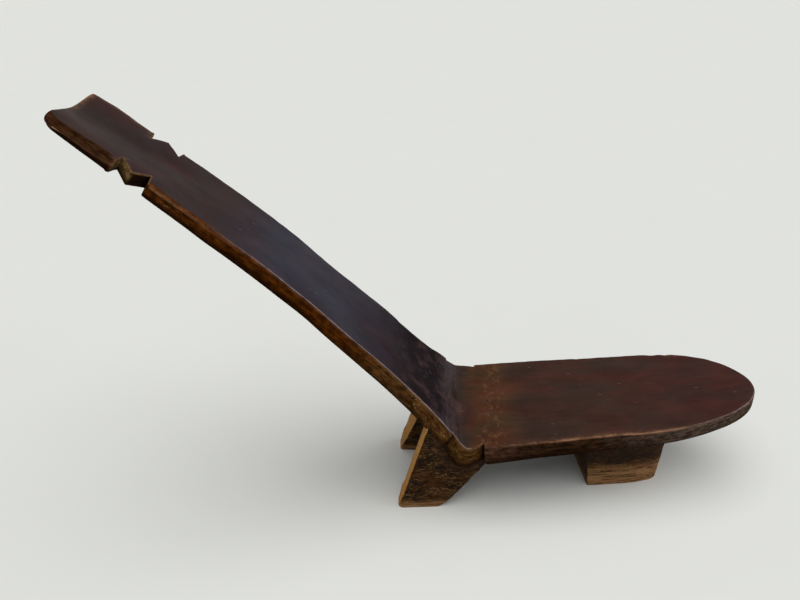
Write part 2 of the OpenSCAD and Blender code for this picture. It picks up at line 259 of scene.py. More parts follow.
class LobiChair(PropertyGroup):
    back: PointerProperty(type=BackSizes)
    head: PointerProperty(type=HeadSizes)
    waist: PointerProperty(type=WaistSizes)
    seat: PointerProperty(type=SeatSizes)
    leg: PointerProperty(type=LegSizes)
    foot: PointerProperty(type=FootSizes)
    carving: PointerProperty(type=CarvingSizes)
    tones: PointerProperty(type=WoodTones)
    stage: PointerProperty(type=StageSizes)


def chair():
    return bpy.context.scene.lobi_chair


# Course of the board


def crease_x():
    """Where the crease lies in the frame: one seat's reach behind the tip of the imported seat."""
    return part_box("seat_slab")[1].x - chair().seat.reach


def part_of(value, start, end):
    return np.clip((value - start) / (end - start), 0.0, 1.0)


def mixed(first, second, amount):
    return first + (second - first) * amount


def eased(amount):
    return amount * amount * (3 - 2 * amount)


def swell(u, place, reach):
    """A smooth bump of height 1 at a place along the board."""
    return np.exp(-(((u - place) / reach) ** 2))


def swells(u, bumps):
    """Smooth bumps added up, each given as its height, its place and its reach."""
    return sum(height * swell(u, place, reach) for height, place, reach in bumps)


def head_foot():
    return chair().head.reach - chair().head.length


def neck_foot():
    return head_foot() - 2 * chair().head.cut_length


def neck_end():
    """Where the neck meets the back, a little below its cuts."""
    below_cuts = 0.004
    return neck_foot() - below_cuts


def back_angle(u):
    back = chair().back
    lower = np.minimum(u, back.bow_start) / back.lower_bow
    upper = np.maximum(u - back.bow_start, 0) / back.upper_bow
    return back.lean - lower - upper


def back_face(u):
    """X and Z of the back's upper face, two arcs that meet where the back bows more."""
    back = chair().back
    low, high = back.lower_bow, back.upper_bow
    bend = back_angle(np.minimum(u, back.bow_start))
    tip = back_angle(u)
    x = low * (np.sin(bend) - math.sin(back.lean)) + high * (np.sin(tip) - np.sin(bend))
    z = low * (np.cos(bend) - math.cos(back.lean)) + high * (np.cos(tip) - np.cos(bend))
    return x, z + chair().waist.crease_height


def seat_face(x):
    seat = chair().seat
    rise = x * math.tan(seat.slope) - x * x / (2 * seat.crown)
    upturn = np.maximum(0, x - seat.upturn_start) ** 2 / (2 * seat.upturn_radius)
    return x, chair().waist.crease_height + rise + upturn


def board_face(u):
    """X and Z of the upper face of the whole board, with the crease rounded by a parabola."""
    u = np.asarray(u, float)
    waist = chair().waist
    back_x, back_z = back_face(np.maximum(u, waist.blend))
    seat_x, seat_z = seat_face(np.maximum(-u, waist.blend))
    t = part_of(u, -waist.blend, waist.blend)
    crease_z = waist.crease_height
    soft_x = (1 - t) ** 2 * seat_x + t**2 * back_x
    soft_z = (1 - t) ** 2 * seat_z + 2 * t * (1 - t) * crease_z + t**2 * back_z
    x = np.where(u >= waist.blend, back_x, np.where(u <= -waist.blend, seat_x, soft_x))
    z = np.where(u >= waist.blend, back_z, np.where(u <= -waist.blend, seat_z, soft_z))
    return x, z


def section_angle(u):
    """Angle of the board's section, which turns through the waist and squares up to the back."""
    back, waist = chair().back, chair().waist
    squaring_run = 0.050
    square_up = back.step_rise + squaring_run
    turning = back.step_angle * part_of(u, -waist.reach, back.step_rise)
    squaring = mixed(back.step_angle, back_angle(square_up), part_of(u, back.step_rise, square_up))
    return np.where(u >= square_up, back_angle(u), np.where(u >= back.step_rise, squaring, turning))


def board_place(u, y, depth):
    """Points of the board in the frame, from places along it, across it and into it."""
    x, z = board_face(u)
    theta = section_angle(u)
    return np.stack([crease_x() + x - depth * np.sin(theta), y + 0 * x, z - depth * np.cos(theta)], -1)


def board_thickness(u):
    back, head, waist, seat = chair().back, chair().head, chair().waist, chair().seat
    even_from = back.step_rise + 0.026
    root_end, head_bend, seat_bend = 0.13, 1.3, 1.8
    to_end = part_of(u, head_foot(), head.reach) ** head_bend
    to_nose = part_of(-u, waist.reach, seat.reach - seat.lip) ** seat_bend
    on_head = mixed(head.neck_thickness, head.end_thickness, to_end)
    on_back = mixed(back.thickness, head.neck_thickness, part_of(u, even_from, neck_foot()))
    behind = mixed(waist.thickness, back.thickness, eased(part_of(u, 0, back.step_rise)))
    before = mixed(waist.thickness, seat.thickness + seat.root, eased(part_of(-u, 0, waist.reach)))
    root = seat.root * (1 - part_of(-u, waist.reach, root_end))
    on_seat = mixed(seat.thickness, seat.nose_thickness, to_nose) + root
    conditions = [u >= neck_foot(), u >= back.step_rise, u >= 0, u >= -waist.reach]
    return np.select(conditions, [on_head, on_back, behind, before], on_seat)


# Where the board strays from its smooth course, as the height, the place and the reach of each bump
FACE_WAVES = [(0.0012, 0.045, 0.030), (0.0010, 0.205, 0.045), (0.0011, 0.450, 0.070)]
BOTH_EDGES = [(-0.0045, 0.355, 0.050), (0.0012, 0.545, 0.022)]
EDGE_WANDER = {
    NEAR: BOTH_EDGES + [(-0.0030, 0.445, 0.060), (0.0010, 0.058, 0.018)],
    FAR: BOTH_EDGES + [(0.0028, 0.205, 0.045), (0.0035, 0.058, 0.018)],
}
WAIST_SWELL = [(0.0010, -0.008, 0.010)]
SEAT_CHIPS = {NEAR: [], FAR: [(0.0022, -0.388, 0.009), (0.0026, -0.410, 0.005)]}
CORNER_SWELL = [(0.0022, -0.054, 0.014)]


def back_half(u, side):
    back, head = chair().back, chair().head
    taper, flare = 0.6, 11
    rest = 1 - part_of(u, back.step_rise, neck_foot())
    body = mixed(head.width, back.width, rest**taper) / 2
    return body + back.hip_flare * rest**flare + swells(u, EDGE_WANDER[side])


def neck_places(side):
    """Where the neck's edge turns: wall, floor of the first cut, tooth, floor of the second, wall."""
    head = chair().head
    near, far = (head.near_wall, 0.0, -0.001), (head.far_wall, 0.001, 0.001)
    wall, slip, off_middle = near if side == NEAR else far
    foot, top = neck_foot() - slip, head_foot() - slip
    tooth = neck_foot() + head.cut_length + off_middle
    return [foot, foot + wall, tooth, top - wall, top]


def notched_half(u, side):
    """Half width of the neck: two V cuts with a tooth between them that stands out to the edge."""
    head = chair().head
    edge = head.width / 2
    floor = edge - (head.near_cut if side == NEAR else head.far_cut)
    tooth = edge + 0.0005
    return np.interp(u, neck_places(side), [edge, floor, tooth, floor, edge])


def waist_half(u, side):
    """Half width of the waist, widest by the crease, with its edge curling into the seat's notch."""
    back, waist = chair().back, chair().waist
    behind = mixed(waist.width, waist.step_width, part_of(u, 0, back.step_rise)) / 2
    depth = waist.near_notch if side == NEAR else waist.far_notch
    curl_bend = 1.6
    curl = depth * part_of(-u, waist.curl, waist.reach) ** curl_bend
    return behind + swells(u, WAIST_SWELL) - curl


def waist_undercut(u):
    """How far the side of the waist is hollowed behind its upper edge, towards the step."""
    start, bend = 0.004, 1.3
    return chair().waist.undercut * part_of(u, start, chair().back.step_rise) ** bend


def seat_half(u, side):
    """Half width of the seat: a slow taper, then a nose that is squarer on the far side."""
    seat, waist = chair().seat, chair().waist
    x = -u
    nose = seat.near_nose if side == NEAR else seat.far_nose
    taper = 1.5
    squareness, fullness = (2.3, 0.41) if side == NEAR else (3.9, 0.62)
    straight = mixed(seat.width / 2, nose, part_of(x, waist.reach, seat.nose_start) ** taper)
    along_nose = part_of(x, seat.nose_start, seat.reach - seat.worn_back)
    rounding = np.clip(1 - along_nose**squareness, 0, 1) ** fullness
    return straight * rounding - swells(u, SEAT_CHIPS[side])


def dish(u, y):
    """Depth of the hollow that crosses the head and dies out down the back."""
    head = chair().head
    fading = 1.5
    deep = head.dish * part_of(u, head.reach - head.dish_length, head.reach) ** fading
    return deep * swell(y, head.dish_shift, head.dish_width)


# Plan of each member, as rows of places from the near edge to the far one

COLUMNS = 73


def across():
    """Shares of the half width, closer together towards the edges."""
    return np.sin(np.linspace(-1, 1, COLUMNS) * math.pi / 2)


def straight_rows(places, half):
    places = np.asarray(places, float)
    near = half(places, NEAR)[:, None]
    far = half(places, FAR)[:, None]
    v = across()[None, :]
    return np.repeat(places[:, None], COLUMNS, 1), np.where(v < 0, v * near, v * far)


def head_end(y):
    """Course of the head's end: nearly straight, with a fuller place by the worn near corner."""
    head = chair().head
    half = head.width / 2
    cut = head.reach - head.end_cut * (1 - (y / half) ** 2)
    cut = cut + swells(y, CORNER_SWELL)
    radius = np.where(y < 0, head.near_corner, head.far_corner)
    inside = np.clip(half - np.abs(y), 0, radius)
    return cut - radius + np.sqrt(np.maximum(radius**2 - (radius - inside) ** 2, 0))


def head_plan():
    rows = 44
    edge = chair().head.width / 2
    reach = np.sin(np.linspace(0, 1, rows) * math.pi / 2)[::-1, None]
    y = np.repeat((across() * edge)[None, :], rows, 0)
    start = head_foot()
    u = start + reach * (head_end(y) - start)
    bow_place, bow_reach = mixed(start, chair().head.reach, 0.60), 0.026
    bow = chair().head.far_bow / edge * swell(u, bow_place, bow_reach)
    return u, np.where(y > 0, y * (1 + bow), y)


def run(corners, step):
    """Places from corner to corner, no further apart than a step."""
    places = []
    for start, end in zip(corners, corners[1:]):
        count = max(2, math.ceil(abs(end - start) / step))
        places += list(np.linspace(start, end, count, endpoint=False))
    return places + [corners[-1]]


def neck_plan():
    row_step = 0.0014
    corners = {head_foot(), neck_end()} | set(neck_places(NEAR)) | set(neck_places(FAR))
    return straight_rows(run(sorted(corners, reverse=True), row_step), notched_half)


def back_plan():
    row_step, hip_top = 0.0036, 0.150
    return straight_rows(run([neck_end(), hip_top, chair().back.step_rise], row_step), back_half)


def waist_plan():
    back, waist = chair().back, chair().waist
    row_step = 0.0016
    corners = [back.step_rise, waist.blend, -waist.curl, -waist.reach]
    return straight_rows(run(corners, row_step), waist_half)


def seat_plan():
    seat, waist = chair().seat, chair().waist
    row_step, nose_rows, skew_bend = 0.0040, 84, 4
    last_turn = 0.99 * math.pi / 2
    straight = run([-waist.reach, -seat.nose_start], row_step)
    turns = np.linspace(0, last_turn, nose_rows)[1:]
    nose = -seat.nose_start - (seat.reach - seat.worn_back - seat.nose_start) * np.sin(turns)
    u, y = straight_rows(np.concatenate([straight, nose]), seat_half)
    skew = seat.nose_skew * y * part_of(-u, seat.nose_start, seat.reach) ** skew_bend
    return u + skew, y


PLANS = [head_plan, neck_plan, back_plan, waist_plan, seat_plan]


def worn_along(u, side):
    """Radius worn on one long edge of the board."""
    back, head, seat = chair().back, chair().head, chair().seat
    worn = mixed(back.arris, back.upper_arris, part_of(u, back.bow_start, neck_foot()))
    head_lead, neck_lead = 0.0005, 0.0015
    on_head = u > head_foot() - head_lead
    on_neck = (u > neck_foot() - neck_lead) & ~on_head
    worn = np.where(on_head, head.near_arris if side == NEAR else head.far_arris, worn)
    worn = np.where(on_neck, head.cut_arris, worn)
    return np.where(u < back.step_rise, seat.arris, worn)


def board_outline():
    """The board's whole edge in plan, and the radius worn on it, from the head's end round to itself."""
    head, seat = chair().head, chair().seat
    near_turn, far_turn = (-0.068, -0.044), (0.066, 0.076)
    grids = [plan() for plan in PLANS]
    near = np.concatenate([np.stack([u[:, 0], y[:, 0]], -1) for u, y in grids])
    far = np.concatenate([np.stack([u[:, -1], y[:, -1]], -1) for u, y in grids])
    nose = np.stack([grids[-1][0][-1], grids[-1][1][-1]], -1)
    end = np.stack([grids[0][0][0], grids[0][1][0]], -1)
    on_end = mixed(head.near_arris, head.end_arris, part_of(end[:, 1], *near_turn))
    on_end = mixed(on_end, head.far_arris, part_of(end[:, 1], *far_turn))
    on_nose = np.full(len(nose), seat.arris)
    line = np.concatenate([near, nose, far[::-1], end[::-1]])
    worn = [worn_along(near[:, 0], NEAR), on_nose, worn_along(far[::-1, 0], FAR), on_end[::-1]]
    return line, np.concatenate(worn)


def edge_distance(u, y, line, worn):
    """Distance from each place to the board's edge, and the radius worn on the nearest stretch of it."""
    step = np.roll(line, -1, 0) - line
    span = np.maximum((step**2).sum(1), 1e-12)
    places = np.stack([u.ravel(), y.ravel()], -1)
    distance = np.empty(len(places))
    radius = np.empty(len(places))
    batch = 2000
    for first in range(0, len(places), batch):
        offset = places[first : first + batch, None, :] - line[None, :, :]
        t = np.clip((offset * step[None]).sum(-1) / span, 0, 1)
        gap = np.linalg.norm(offset - t[..., None] * step[None], axis=-1)
        distance[first : first + batch] = gap.min(1)
        radius[first : first + batch] = worn[gap.argmin(1)]
    return distance.reshape(u.shape), radius.reshape(u.shape)


def rounded(distance, radius):
    """How far a face has dropped at a distance from its edge, for an edge worn round."""
    inside = np.clip(1 - distance / radius, 0, 1)
    return radius * (1 - np.sqrt(1 - inside**2))


def nicks(u, y):
    """Irregular wear along the edges: slow waves, and short nicks at random places."""
    carving = chair().carving
    chance = np.random.default_rng(carving.seed)
    slow, quick, nick_count = 97, 231, 46
    waves = np.sin(u * slow + 1.3 * np.sign(y)) + np.sin(u * quick + np.sign(y))
    wear = 0.25 * carving.nick * waves
    for _ in range(nick_count):
        place = chance.uniform(-0.5, 0.8)
        side = chance.choice((NEAR, FAR))
        reach = chance.uniform(0.0025, 0.009)
        depth = chance.uniform(0.3, 1.0) * carving.nick
        wear = wear + depth * swell(u, place, reach) * (np.sign(y) == side)
    return wear


def under_radius(u):
    back, seat, waist = chair().back, chair().seat, chair().waist
    before_notch, past_notch = 0.004, 0.012
    turning = part_of(u, -waist.reach - before_notch, -waist.reach + past_notch)
    knuckle = mixed(seat.under_arris, waist.knuckle, turning)
    return np.where(u > back.step_rise, back.under_arris, knuckle)


def rubbing(u, y):
    """How bare each stretch of the upper edges is rubbed, from 0 to 1."""
    near = y < 0
    along_seat = part_of(-u, 0.050, 0.200) * (1 - part_of(-u, 0.330, 0.400))
    by_chips = swell(u, -0.415, 0.020)
    under_neck = part_of(u, 0.50, 0.62)
    seat_edge = np.where(near, 0.15 + 0.85 * along_seat, 0.10 + 0.9 * by_chips)
    waist_edge = np.where(near, 0.30, 0.20)
    back_edge = np.where(near, 0.08 + 0.25 * under_neck, 0.10)
    head_edge = np.where(near, 0.12, 0.70)
    conditions = [u > head_foot(), u > chair().back.step_rise, u > -chair().waist.reach]
    return np.select(conditions, [head_edge, back_edge, waist_edge], seat_edge)


def rubbed_band(u, y):
    """How far the wear spreads from the edges over the upper face, from 0 to 1."""
    mid_seat, by_chips = swell(u, -0.240, 0.120), swell(u, -0.418, 0.014)
    on_seat = np.where(y < 0, 0.08 * mid_seat, 0.50 * by_chips)
    on_head = part_of(u, head_foot() - 0.02, head_foot() + 0.01) * np.where(y < 0, 0.0, 0.20)
    below_neck = 0.04 * (u < neck_foot())
    return on_seat + on_head + below_neck


def glinting(u, y):
    """How much the upper edges glint, which sets both their wax and their painted highlight: most on the
    near edge of the back, then on the nose.
    """
    near = y < 0
    seat_from, far_end = -0.012, 0.60
    on_back = np.where(near, 1 - part_of(u, 0.42, 0.56), 0.20 * (u < far_end))
    on_nose = part_of(-u, 0.400, 0.450)
    return np.where(u > seat_from, on_back, np.where(near, 0.8 * on_nose, 0.15 + 0.3 * on_nose))


def recess_shade(u):
    """How dark the painted shade lies in the lower cut of the neck, beside the step and in the seat's
    notch.
    """
    back, waist = chair().back, chair().waist
    below_step = np.where(u < back.step_rise, swell(u, back.step_rise, 0.010), 0.0)
    by_notch = np.where(u > -waist.reach, swell(u, -waist.reach, 0.006), 0.0)
    foot, tooth = neck_foot(), neck_foot() + chair().head.cut_length
    slack, fading = 0.0005, 0.004
    lower_cut = part_of(u, foot - slack, foot + slack) * (1 - part_of(u, tooth - fading, tooth))
    return np.maximum(np.maximum(below_step, by_notch), 0.96 * lower_cut)


# Meshes

SIDE_STEPS = 10
SIDE_ROUGHNESS = 0.25
# How dark the painted shade over the board's underside is
UNDER_SHADE = 0.3
END_WEAR = 0.3


class Skin:
    """Points, faces and marks of one carved piece while it is being made."""

    VECTORS = ("outward", "fibre")
    NUMBERS = ("polish", "inside", "fall", "wear", "band", "glint", "soot", "rough", "bare")

    def __init__(self):
        self.points = []
        self.faces = []
        self.sharp = set()
        self.marks = {name: [] for name in self.VECTORS + self.NUMBERS}

    def add(self, points, **marks):
        """Adds points with their marks, and returns their numbers in the same layout."""
        first = sum(len(known) for known in self.points)
        self.points.append(points.reshape(-1, 3))
        count = len(self.points[-1])
        for name, values in self.marks.items():
            tail = (3,) if name in self.VECTORS else ()
            spread = np.broadcast_to(marks.get(name, 0.0), points.shape[:-1] + tail)
            values.append(spread.reshape((count,) + tail))
        return first + np.arange(count).reshape(points.shape[:-1])

    def weave(self, numbers, closed=False):
        """Faces over a grid of point numbers, closed round its rows if asked."""
        if closed:
            numbers = np.concatenate([numbers, numbers[:, :1]], 1)
        quads = [numbers[:-1, :-1], numbers[:-1, 1:], numbers[1:, 1:], numbers[1:, :-1]]
        self.faces += np.stack(quads, -1).reshape(-1, 4).tolist()

    def keep_sharp(self, ring):
        """Keeps the edges round a ring of point numbers sharp."""
        self.sharp |= {tuple(sorted(pair)) for pair in zip(ring.tolist(), np.roll(ring, -1).tolist())}

    def build(self, name):
        mesh = bpy.data.meshes.new(name)
        mesh.from_pydata(np.concatenate(self.points).tolist(), [], self.faces)
        for mark, values in self.marks.items():
            vector = mark in self.VECTORS
            attribute = mesh.attributes.new(mark, "FLOAT_VECTOR" if vector else "FLOAT", "POINT")
            flat = np.concatenate(values).astype(np.float32).ravel()
            attribute.data.foreach_set("vector" if vector else "value", flat)
        mesh.shade_smooth()
        if self.sharp:
            kept = [tuple(sorted(edge.vertices)) in self.sharp for edge in mesh.edges]
            mesh.attributes.new("sharp_edge", "BOOLEAN", "EDGE").data.foreach_set("value", kept)
        mesh.validate()
        piece = bpy.data.objects.new(name, mesh)
        bpy.context.scene.collection.objects.link(piece)
        return piece


def ring_normals(points):
    """Outward direction at every point of a stack of closed rings."""
    along = np.gradient(points, axis=0)
    around = np.roll(points, -1, 1) - np.roll(points, 1, 1)
    normal = np.cross(around, along)
    return normal / np.maximum(np.linalg.norm(normal, axis=-1, keepdims=True), 1e-9)


def carve_board(name, plan, open_start=False, open_end=False, hollow=None):
    """A member of the board: rings over its plan, closed at both ends, with its edges worn round.

    An open end is one that can be seen, and its edge isn't kept sharp. hollow says how far the sides are
    hollowed at each place along the board.
    """
    u, y = plan()
    distance, radius = edge_distance(u, y, *board_outline())
    sharpest, side_gap = 0.0008, 0.003
    top_radius = np.maximum(radius + np.maximum(nicks(u, y), -0.4 * radius), sharpest)
    under = np.minimum(under_radius(u), radius + side_gap)
    low_radius = np.where(u > head_foot(), np.maximum(radius, side_gap), under)
    top_depth = dish(u, y) - swells(u, FACE_WAVES) + rounded(distance, top_radius)
    low_depth = board_thickness(u) - rounded(distance, low_radius)
    shares = np.linspace(0, 1, SIDE_STEPS + 1)[1:-1]
    belly = np.sin(shares * math.pi)[None, :]
    bulge, wear_depth, end_wear_depth = 0.0006, 0.0006, 0.002
    hollowed = hollow(u[:, :1]) if hollow else 0.0

    def band(column):
        """Places down one side of the board, below one column of its plan."""
        side = NEAR if column == 0 else FAR
        depth = mixed(top_depth[:, column, None], low_depth[:, column, None], shares[None, :])
        edge_y = y[:, column, None] + side * (bulge * belly - hollowed * np.sqrt(belly))
        return np.repeat(u[:, column, None], len(shares), 1), edge_y, depth

    near, far = band(0), band(-1)
    top, low = (u, y, top_depth), (u, y, low_depth)
    ring_u, ring_y, ring_depth = (
        np.concatenate([top[k], far[k], low[k][:, ::-1], near[k][:, ::-1]], 1) for k in range(3)
    )
    points = board_place(ring_u, ring_y, ring_depth)
    side, face = np.zeros_like(near[2]), np.zeros_like(u)
    polished_from = top_radius * (1 + 0.30 * part_of(top_radius, 0.004, 0.009))
    down = np.broadcast_to(shares, side.shape)
    rub = rubbing(u, y)
    far_head = (y > 0) * (u > head_foot())
    worn_top = rub * np.exp(-distance / mixed(0.0009, 0.0030, far_head))
    worn_near, worn_far = (
        rub[:, column, None] * np.exp(-(places[2] - top_depth[:, column, None]) / wear_depth)
        for column, places in ((0, near), (-1, far))
    )

    def all_round(upper, far_side, under_side, near_side):
        """One mark for the whole of every ring, from its four stretches."""
        return np.concatenate([upper, far_side, under_side, near_side], 1)

    # Painted shade on the sides beside the step, in the seat's notch and in the neck's lower cut, and over
    # the underside
    sides = side + recess_shade(u[:, :1])
    skin = Skin()
    ring = skin.add(
        points,
        outward=ring_normals(points),
        fibre=np.stack([ring_u, ring_y, ring_depth], -1),
        polish=all_round(part_of(distance, 0, polished_from), side, face, side),
        inside=all_round(distance, side, distance, side),
        fall=all_round(face, down, face + 1, down[:, ::-1]),
        wear=all_round(worn_top, worn_far, face, worn_near[:, ::-1]),
        band=all_round(rubbed_band(u, y), side, face, side),
        glint=all_round(glinting(u, y), side, face, side),
        soot=all_round(face, sides, face + UNDER_SHADE, sides),
        rough=all_round(face, side + SIDE_ROUGHNESS, part_of(distance, 0, 0.01), side + SIDE_ROUGHNESS),
    )
    skin.weave(ring, closed=True)
    bands = len(shares)
    for row, shown in ((0, open_start), (len(u) - 1, open_end)):
        near_side = ring[row, 2 * COLUMNS + bands :][::-1]
        far_side = ring[row, COLUMNS : COLUMNS + bands]
        end_top, end_low = top_depth[row, None, 1:-1], low_depth[row, None, 1:-1]
        inner_u = np.repeat(u[row, None, 1:-1], bands, 0)
        inner_y = np.repeat(y[row, None, 1:-1], bands, 0)
        inner_depth = mixed(end_top, end_low, shares[:, None])
        cap = board_place(inner_u, inner_y, inner_depth)
        way = 0.001 if row == 0 else -0.001
        lengthwise = board_place(inner_u + way, inner_y, inner_depth) - cap
        middle = skin.add(
            cap,
            outward=lengthwise / np.linalg.norm(lengthwise, axis=-1, keepdims=True),
            fibre=np.stack([inner_u, inner_y, inner_depth], -1),
            fall=np.broadcast_to(shares[:, None], inner_u.shape),
            rough=SIDE_ROUGHNESS if shown else 0.0,
            # Hidden ends carry the same painted shade as the sides round them
            soot=0.0 if shown else recess_shade(inner_u),
            wear=END_WEAR * np.exp(-(inner_depth - end_top) / end_wear_depth) if shown else 0.0,
        )
        between_sides = np.concatenate([near_side[:, None], middle, far_side[:, None]], 1)
        under_row = ring[row, COLUMNS + bands : 2 * COLUMNS + bands][::-1]
        grid = np.concatenate([ring[row, None, :COLUMNS], between_sides, under_row[None]])
        skin.weave(grid if row == 0 else grid[:, ::-1])
        if not shown:
            skin.keep_sharp(ring[row])
    return skin.build(name)


def rounded_outline(corners, trims, corner_points=9, side_points=14):
    """A closed outline through corners, each rounded from a trim before it to a trim after it."""
    corners = np.asarray(corners, float)
    t = np.linspace(0, 1, corner_points)[:, None]
    arcs = []
    for k, (corner, trim) in enumerate(zip(corners, trims)):
        before = corners[k - 1] - corner
        after = corners[(k + 1) % len(corners)] - corner
        start = corner + before / np.linalg.norm(before) * trim
        end = corner + after / np.linalg.norm(after) * trim
        arcs.append((1 - t) ** 2 * start + 2 * t * (1 - t) * corner + t**2 * end)
    between_arcs = np.linspace(0, 1, side_points)[1:-1, None]
    outline = []
    for arc, following in zip(arcs, arcs[1:] + arcs[:1]):
        outline += [arc, mixed(arc[-1], following[0], between_arcs)]
    return np.concatenate(outline)


def carve_post(name, rings, **marks):
    """A leg or a foot: a stack of rings from the sole up into the board, closed at both ends."""
    outward = ring_normals(rings)
    if (outward * (rings - rings.mean((0, 1)))).sum() < 0:
        rings = rings[:, ::-1]
        marks = {mark: values[:, ::-1] for mark, values in marks.items()}
        outward = ring_normals(rings)
    outward[0] = 0.0
    skin = Skin()
    rough_from = 0.004
    rough = part_of(rings[..., 2], 0, rough_from)
    ring = skin.add(rings, outward=outward, fibre=rings, rough=rough, **marks)
    skin.weave(ring, closed=True)
    for row, flipped in ((0, 1), (len(rings) - 1, -1)):
        centre = rings[row].mean(0)
        previous = ring[row]
        for share_in in (0.25, 0.5, 0.75):
            inner = mixed(rings[row], centre, share_in)
            number = skin.add(inner, fibre=inner, wear=END_WEAR, fall=1.0)
            skin.weave(np.stack([previous, number])[::flipped], closed=True)
            previous = number
        tip = int(skin.add(centre[None], fibre=centre[None], wear=END_WEAR, fall=1.0)[0])
        following = np.roll(previous, -1)
        for first, second in zip(previous.tolist(), following.tolist()):
            skin.faces.append([second, first, tip][::flipped])
        skin.keep_sharp(ring[row])
    return skin.build(name)


SUNK_ROOT = 0.004


def under_board(u):
    """Points a little inside the board's underside, along its middle."""
    return board_place(u, 0 * u, board_thickness(u) - SUNK_ROOT)


def carve_leg(name, side):
    """A leaning plate, thicker towards its top, from its sole to a line along the board's underside."""
    leg = chair().leg
    packed_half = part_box("waist")[1].y
    heel = crease_x() - leg.back_reach
    top_u = leg.near_rise if side == NEAR else leg.far_rise
    root_height = board_place(top_u, 0.0, board_thickness(np.array(top_u)))[2]
    kick_low, kick_high = 0.018, 0.040
    corner_fading, least_trim = 0.07, 0.003
    sole_tuck, tuck_fading = 0.0012, 0.03
    rings = []
    for t in np.concatenate([[0, 0.006, 0.014, 0.026], np.linspace(0.045, 1, 46)]):
        low_corner = leg.sole_corner * math.exp(-t / corner_fading) + leg.arris
        tuck = sole_tuck * math.exp(-t / tuck_fading)
        span = mixed(leg.sole_length, top_u + leg.root, t)
        box = [(0, 0), (span, 0), (span, leg.thickness), (0, leg.thickness)]
        rolled = mixed(leg.near_roll, leg.near_roll_top, t) if side == NEAR else leg.arris
        trims = (low_corner, low_corner, 0.4 * low_corner + least_trim, 0.4 * low_corner + rolled)
        outline = rounded_outline(box, trims)
        s = mixed(tuck / span, 1 - tuck / span, outline[:, 0] / span)
        inward = mixed(tuck / leg.thickness, 1 - tuck / leg.thickness, outline[:, 1] / leg.thickness)
        under_u = mixed(top_u, -leg.root, s)
        under = under_board(under_u)
        x = mixed(heel + leg.sole_length * s, under[:, 0], t)
        z = under[:, 2] * t
        x = x - leg.heel_kick * (1 - s) * (1 - eased(part_of(z, kick_low, kick_high)))
        rise = z / root_height
        outer = packed_half - mixed(leg.inset, leg.top_inset, rise)
        thick = leg.thickness + leg.thickening * s + leg.top_thickening * rise
        rings.append(np.stack([x, side * (outer - inward * thick), z], -1))
    rings = np.stack(rings)
    outward = np.abs(ring_normals(rings)[..., 0])
    front = rings[..., 0] > rings[..., 0].mean(1, keepdims=True)
    height = rings[..., 2]
    under_waist = part_of(rings[..., 0], crease_x() - 0.070, crease_x() - 0.010)
    return carve_post(
        name,
        rings,
        wear=0.80 * (1 - eased(part_of(height, 0.006, 0.022))),
        # Back faces of the legs made paler: partly bare wood, partly painted light
        bare=np.where(front, 0.0, part_of(outward, 0.78, 0.92)),
        # Painted shade on the upper part of the leg under the waist
        soot=0.80 * part_of(height, 0.070, 0.130) * under_waist,
    )


def carve_foot(name):
    """A block that narrows to a flat front face, and flares up to the seat's underside."""
    foot = chair().foot
    half, front_half = foot.width / 2, foot.front_width / 2
    front = foot.reach + foot.length
    drawn_in = 0.012
    turn, soft, arris = 0.015, 0.007, 0.004
    shoulder, middle = front - foot.shoulder, front - drawn_in
    corners = [
        (foot.reach, -half - foot.near_swing),
        (shoulder, -half),
        (middle, mixed(-front_half, -half, 0.5)),
        (front, -front_half),
        (front, front_half),
        (middle, mixed(front_half, half, 0.5)),
        (shoulder, half),
        (foot.reach - foot.skew, half),
    ]
    trims = (foot.arris, turn, soft, arris, arris, soft, turn, foot.arris)
    centre = np.array([foot.reach + foot.length / 2, 0.0])
    sole_tuck, tuck_fading, flare_bend = 0.02, 0.02, 1.3
    rings = []
    for t in np.concatenate([[0, 0.008, 0.020, 0.040], np.linspace(0.07, 1, 36)]):
        outline = rounded_outline(corners, trims, corner_points=7, side_points=10)
        outline = centre + (outline - centre) * (1 - sole_tuck * math.exp(-t / tuck_fading))
        forward = part_of(outline[:, 0], foot.reach, front)
        flare = mixed(-foot.back_flare, foot.flare, forward)
        x = outline[:, 0] + flare * t**flare_bend
        under = under_board(-(outline[:, 0] + flare))
        rings.append(np.stack([crease_x() + x, outline[:, 1], under[:, 2] * t], -1))
    rings = np.stack(rings)
    height = rings[..., 2]
    behind = part_of(-ring_normals(rings)[..., 0], 0.5, 0.8)
    behind = np.where(rings[..., 0] < rings[..., 0].mean(1, keepdims=True), np.abs(behind), 0.0)
    # Painted shade on the upper foot under the seat, and on its back face
    upper_shade = 0.62 * eased(part_of(height, 0.040, 0.066))
    shade_behind = 0.85 * behind * part_of(height, 0.010, 0.030)
    return carve_post(
        name,
        rings,
        wear=0.85 * (1 - eased(part_of(height, 0.026, 0.060))) * (1 - 0.6 * behind),
        soot=np.maximum(upper_shade, shade_behind),
    )


# Node trees


def add_node(tree, kind, settings=None, **inputs):
    """Adds a node with its settings, and sets or links each input by its name or number, as in i0."""
    made = tree.nodes.new(kind)
    for key, value in (settings or {}).items():
        setattr(made, key, value)
    for key, value in inputs.items():
        socket = made.inputs[int(key[1:])] if key[1:].isdigit() else made.inputs[key.replace("_", " ")]
        if isinstance(value, bpy.types.NodeSocket):
            tree.links.new(value, socket)
        else:
            socket.default_value = value
    return made


def maths(tree, operation, first, second=0.0, clamp=False):
    settings = {"operation": operation, "use_clamp": clamp}
    return add_node(tree, "ShaderNodeMath", settings, i0=first, i1=second).outputs[0]


def times(tree, first, *others):
    """The product of two or more values."""
    for other in others:
        first = maths(tree, "MULTIPLY", first, other)
    return first


def mark(tree, name, output="Fac"):
    return add_node(tree, "ShaderNodeAttribute", {"attribute_name": name}).outputs[output]


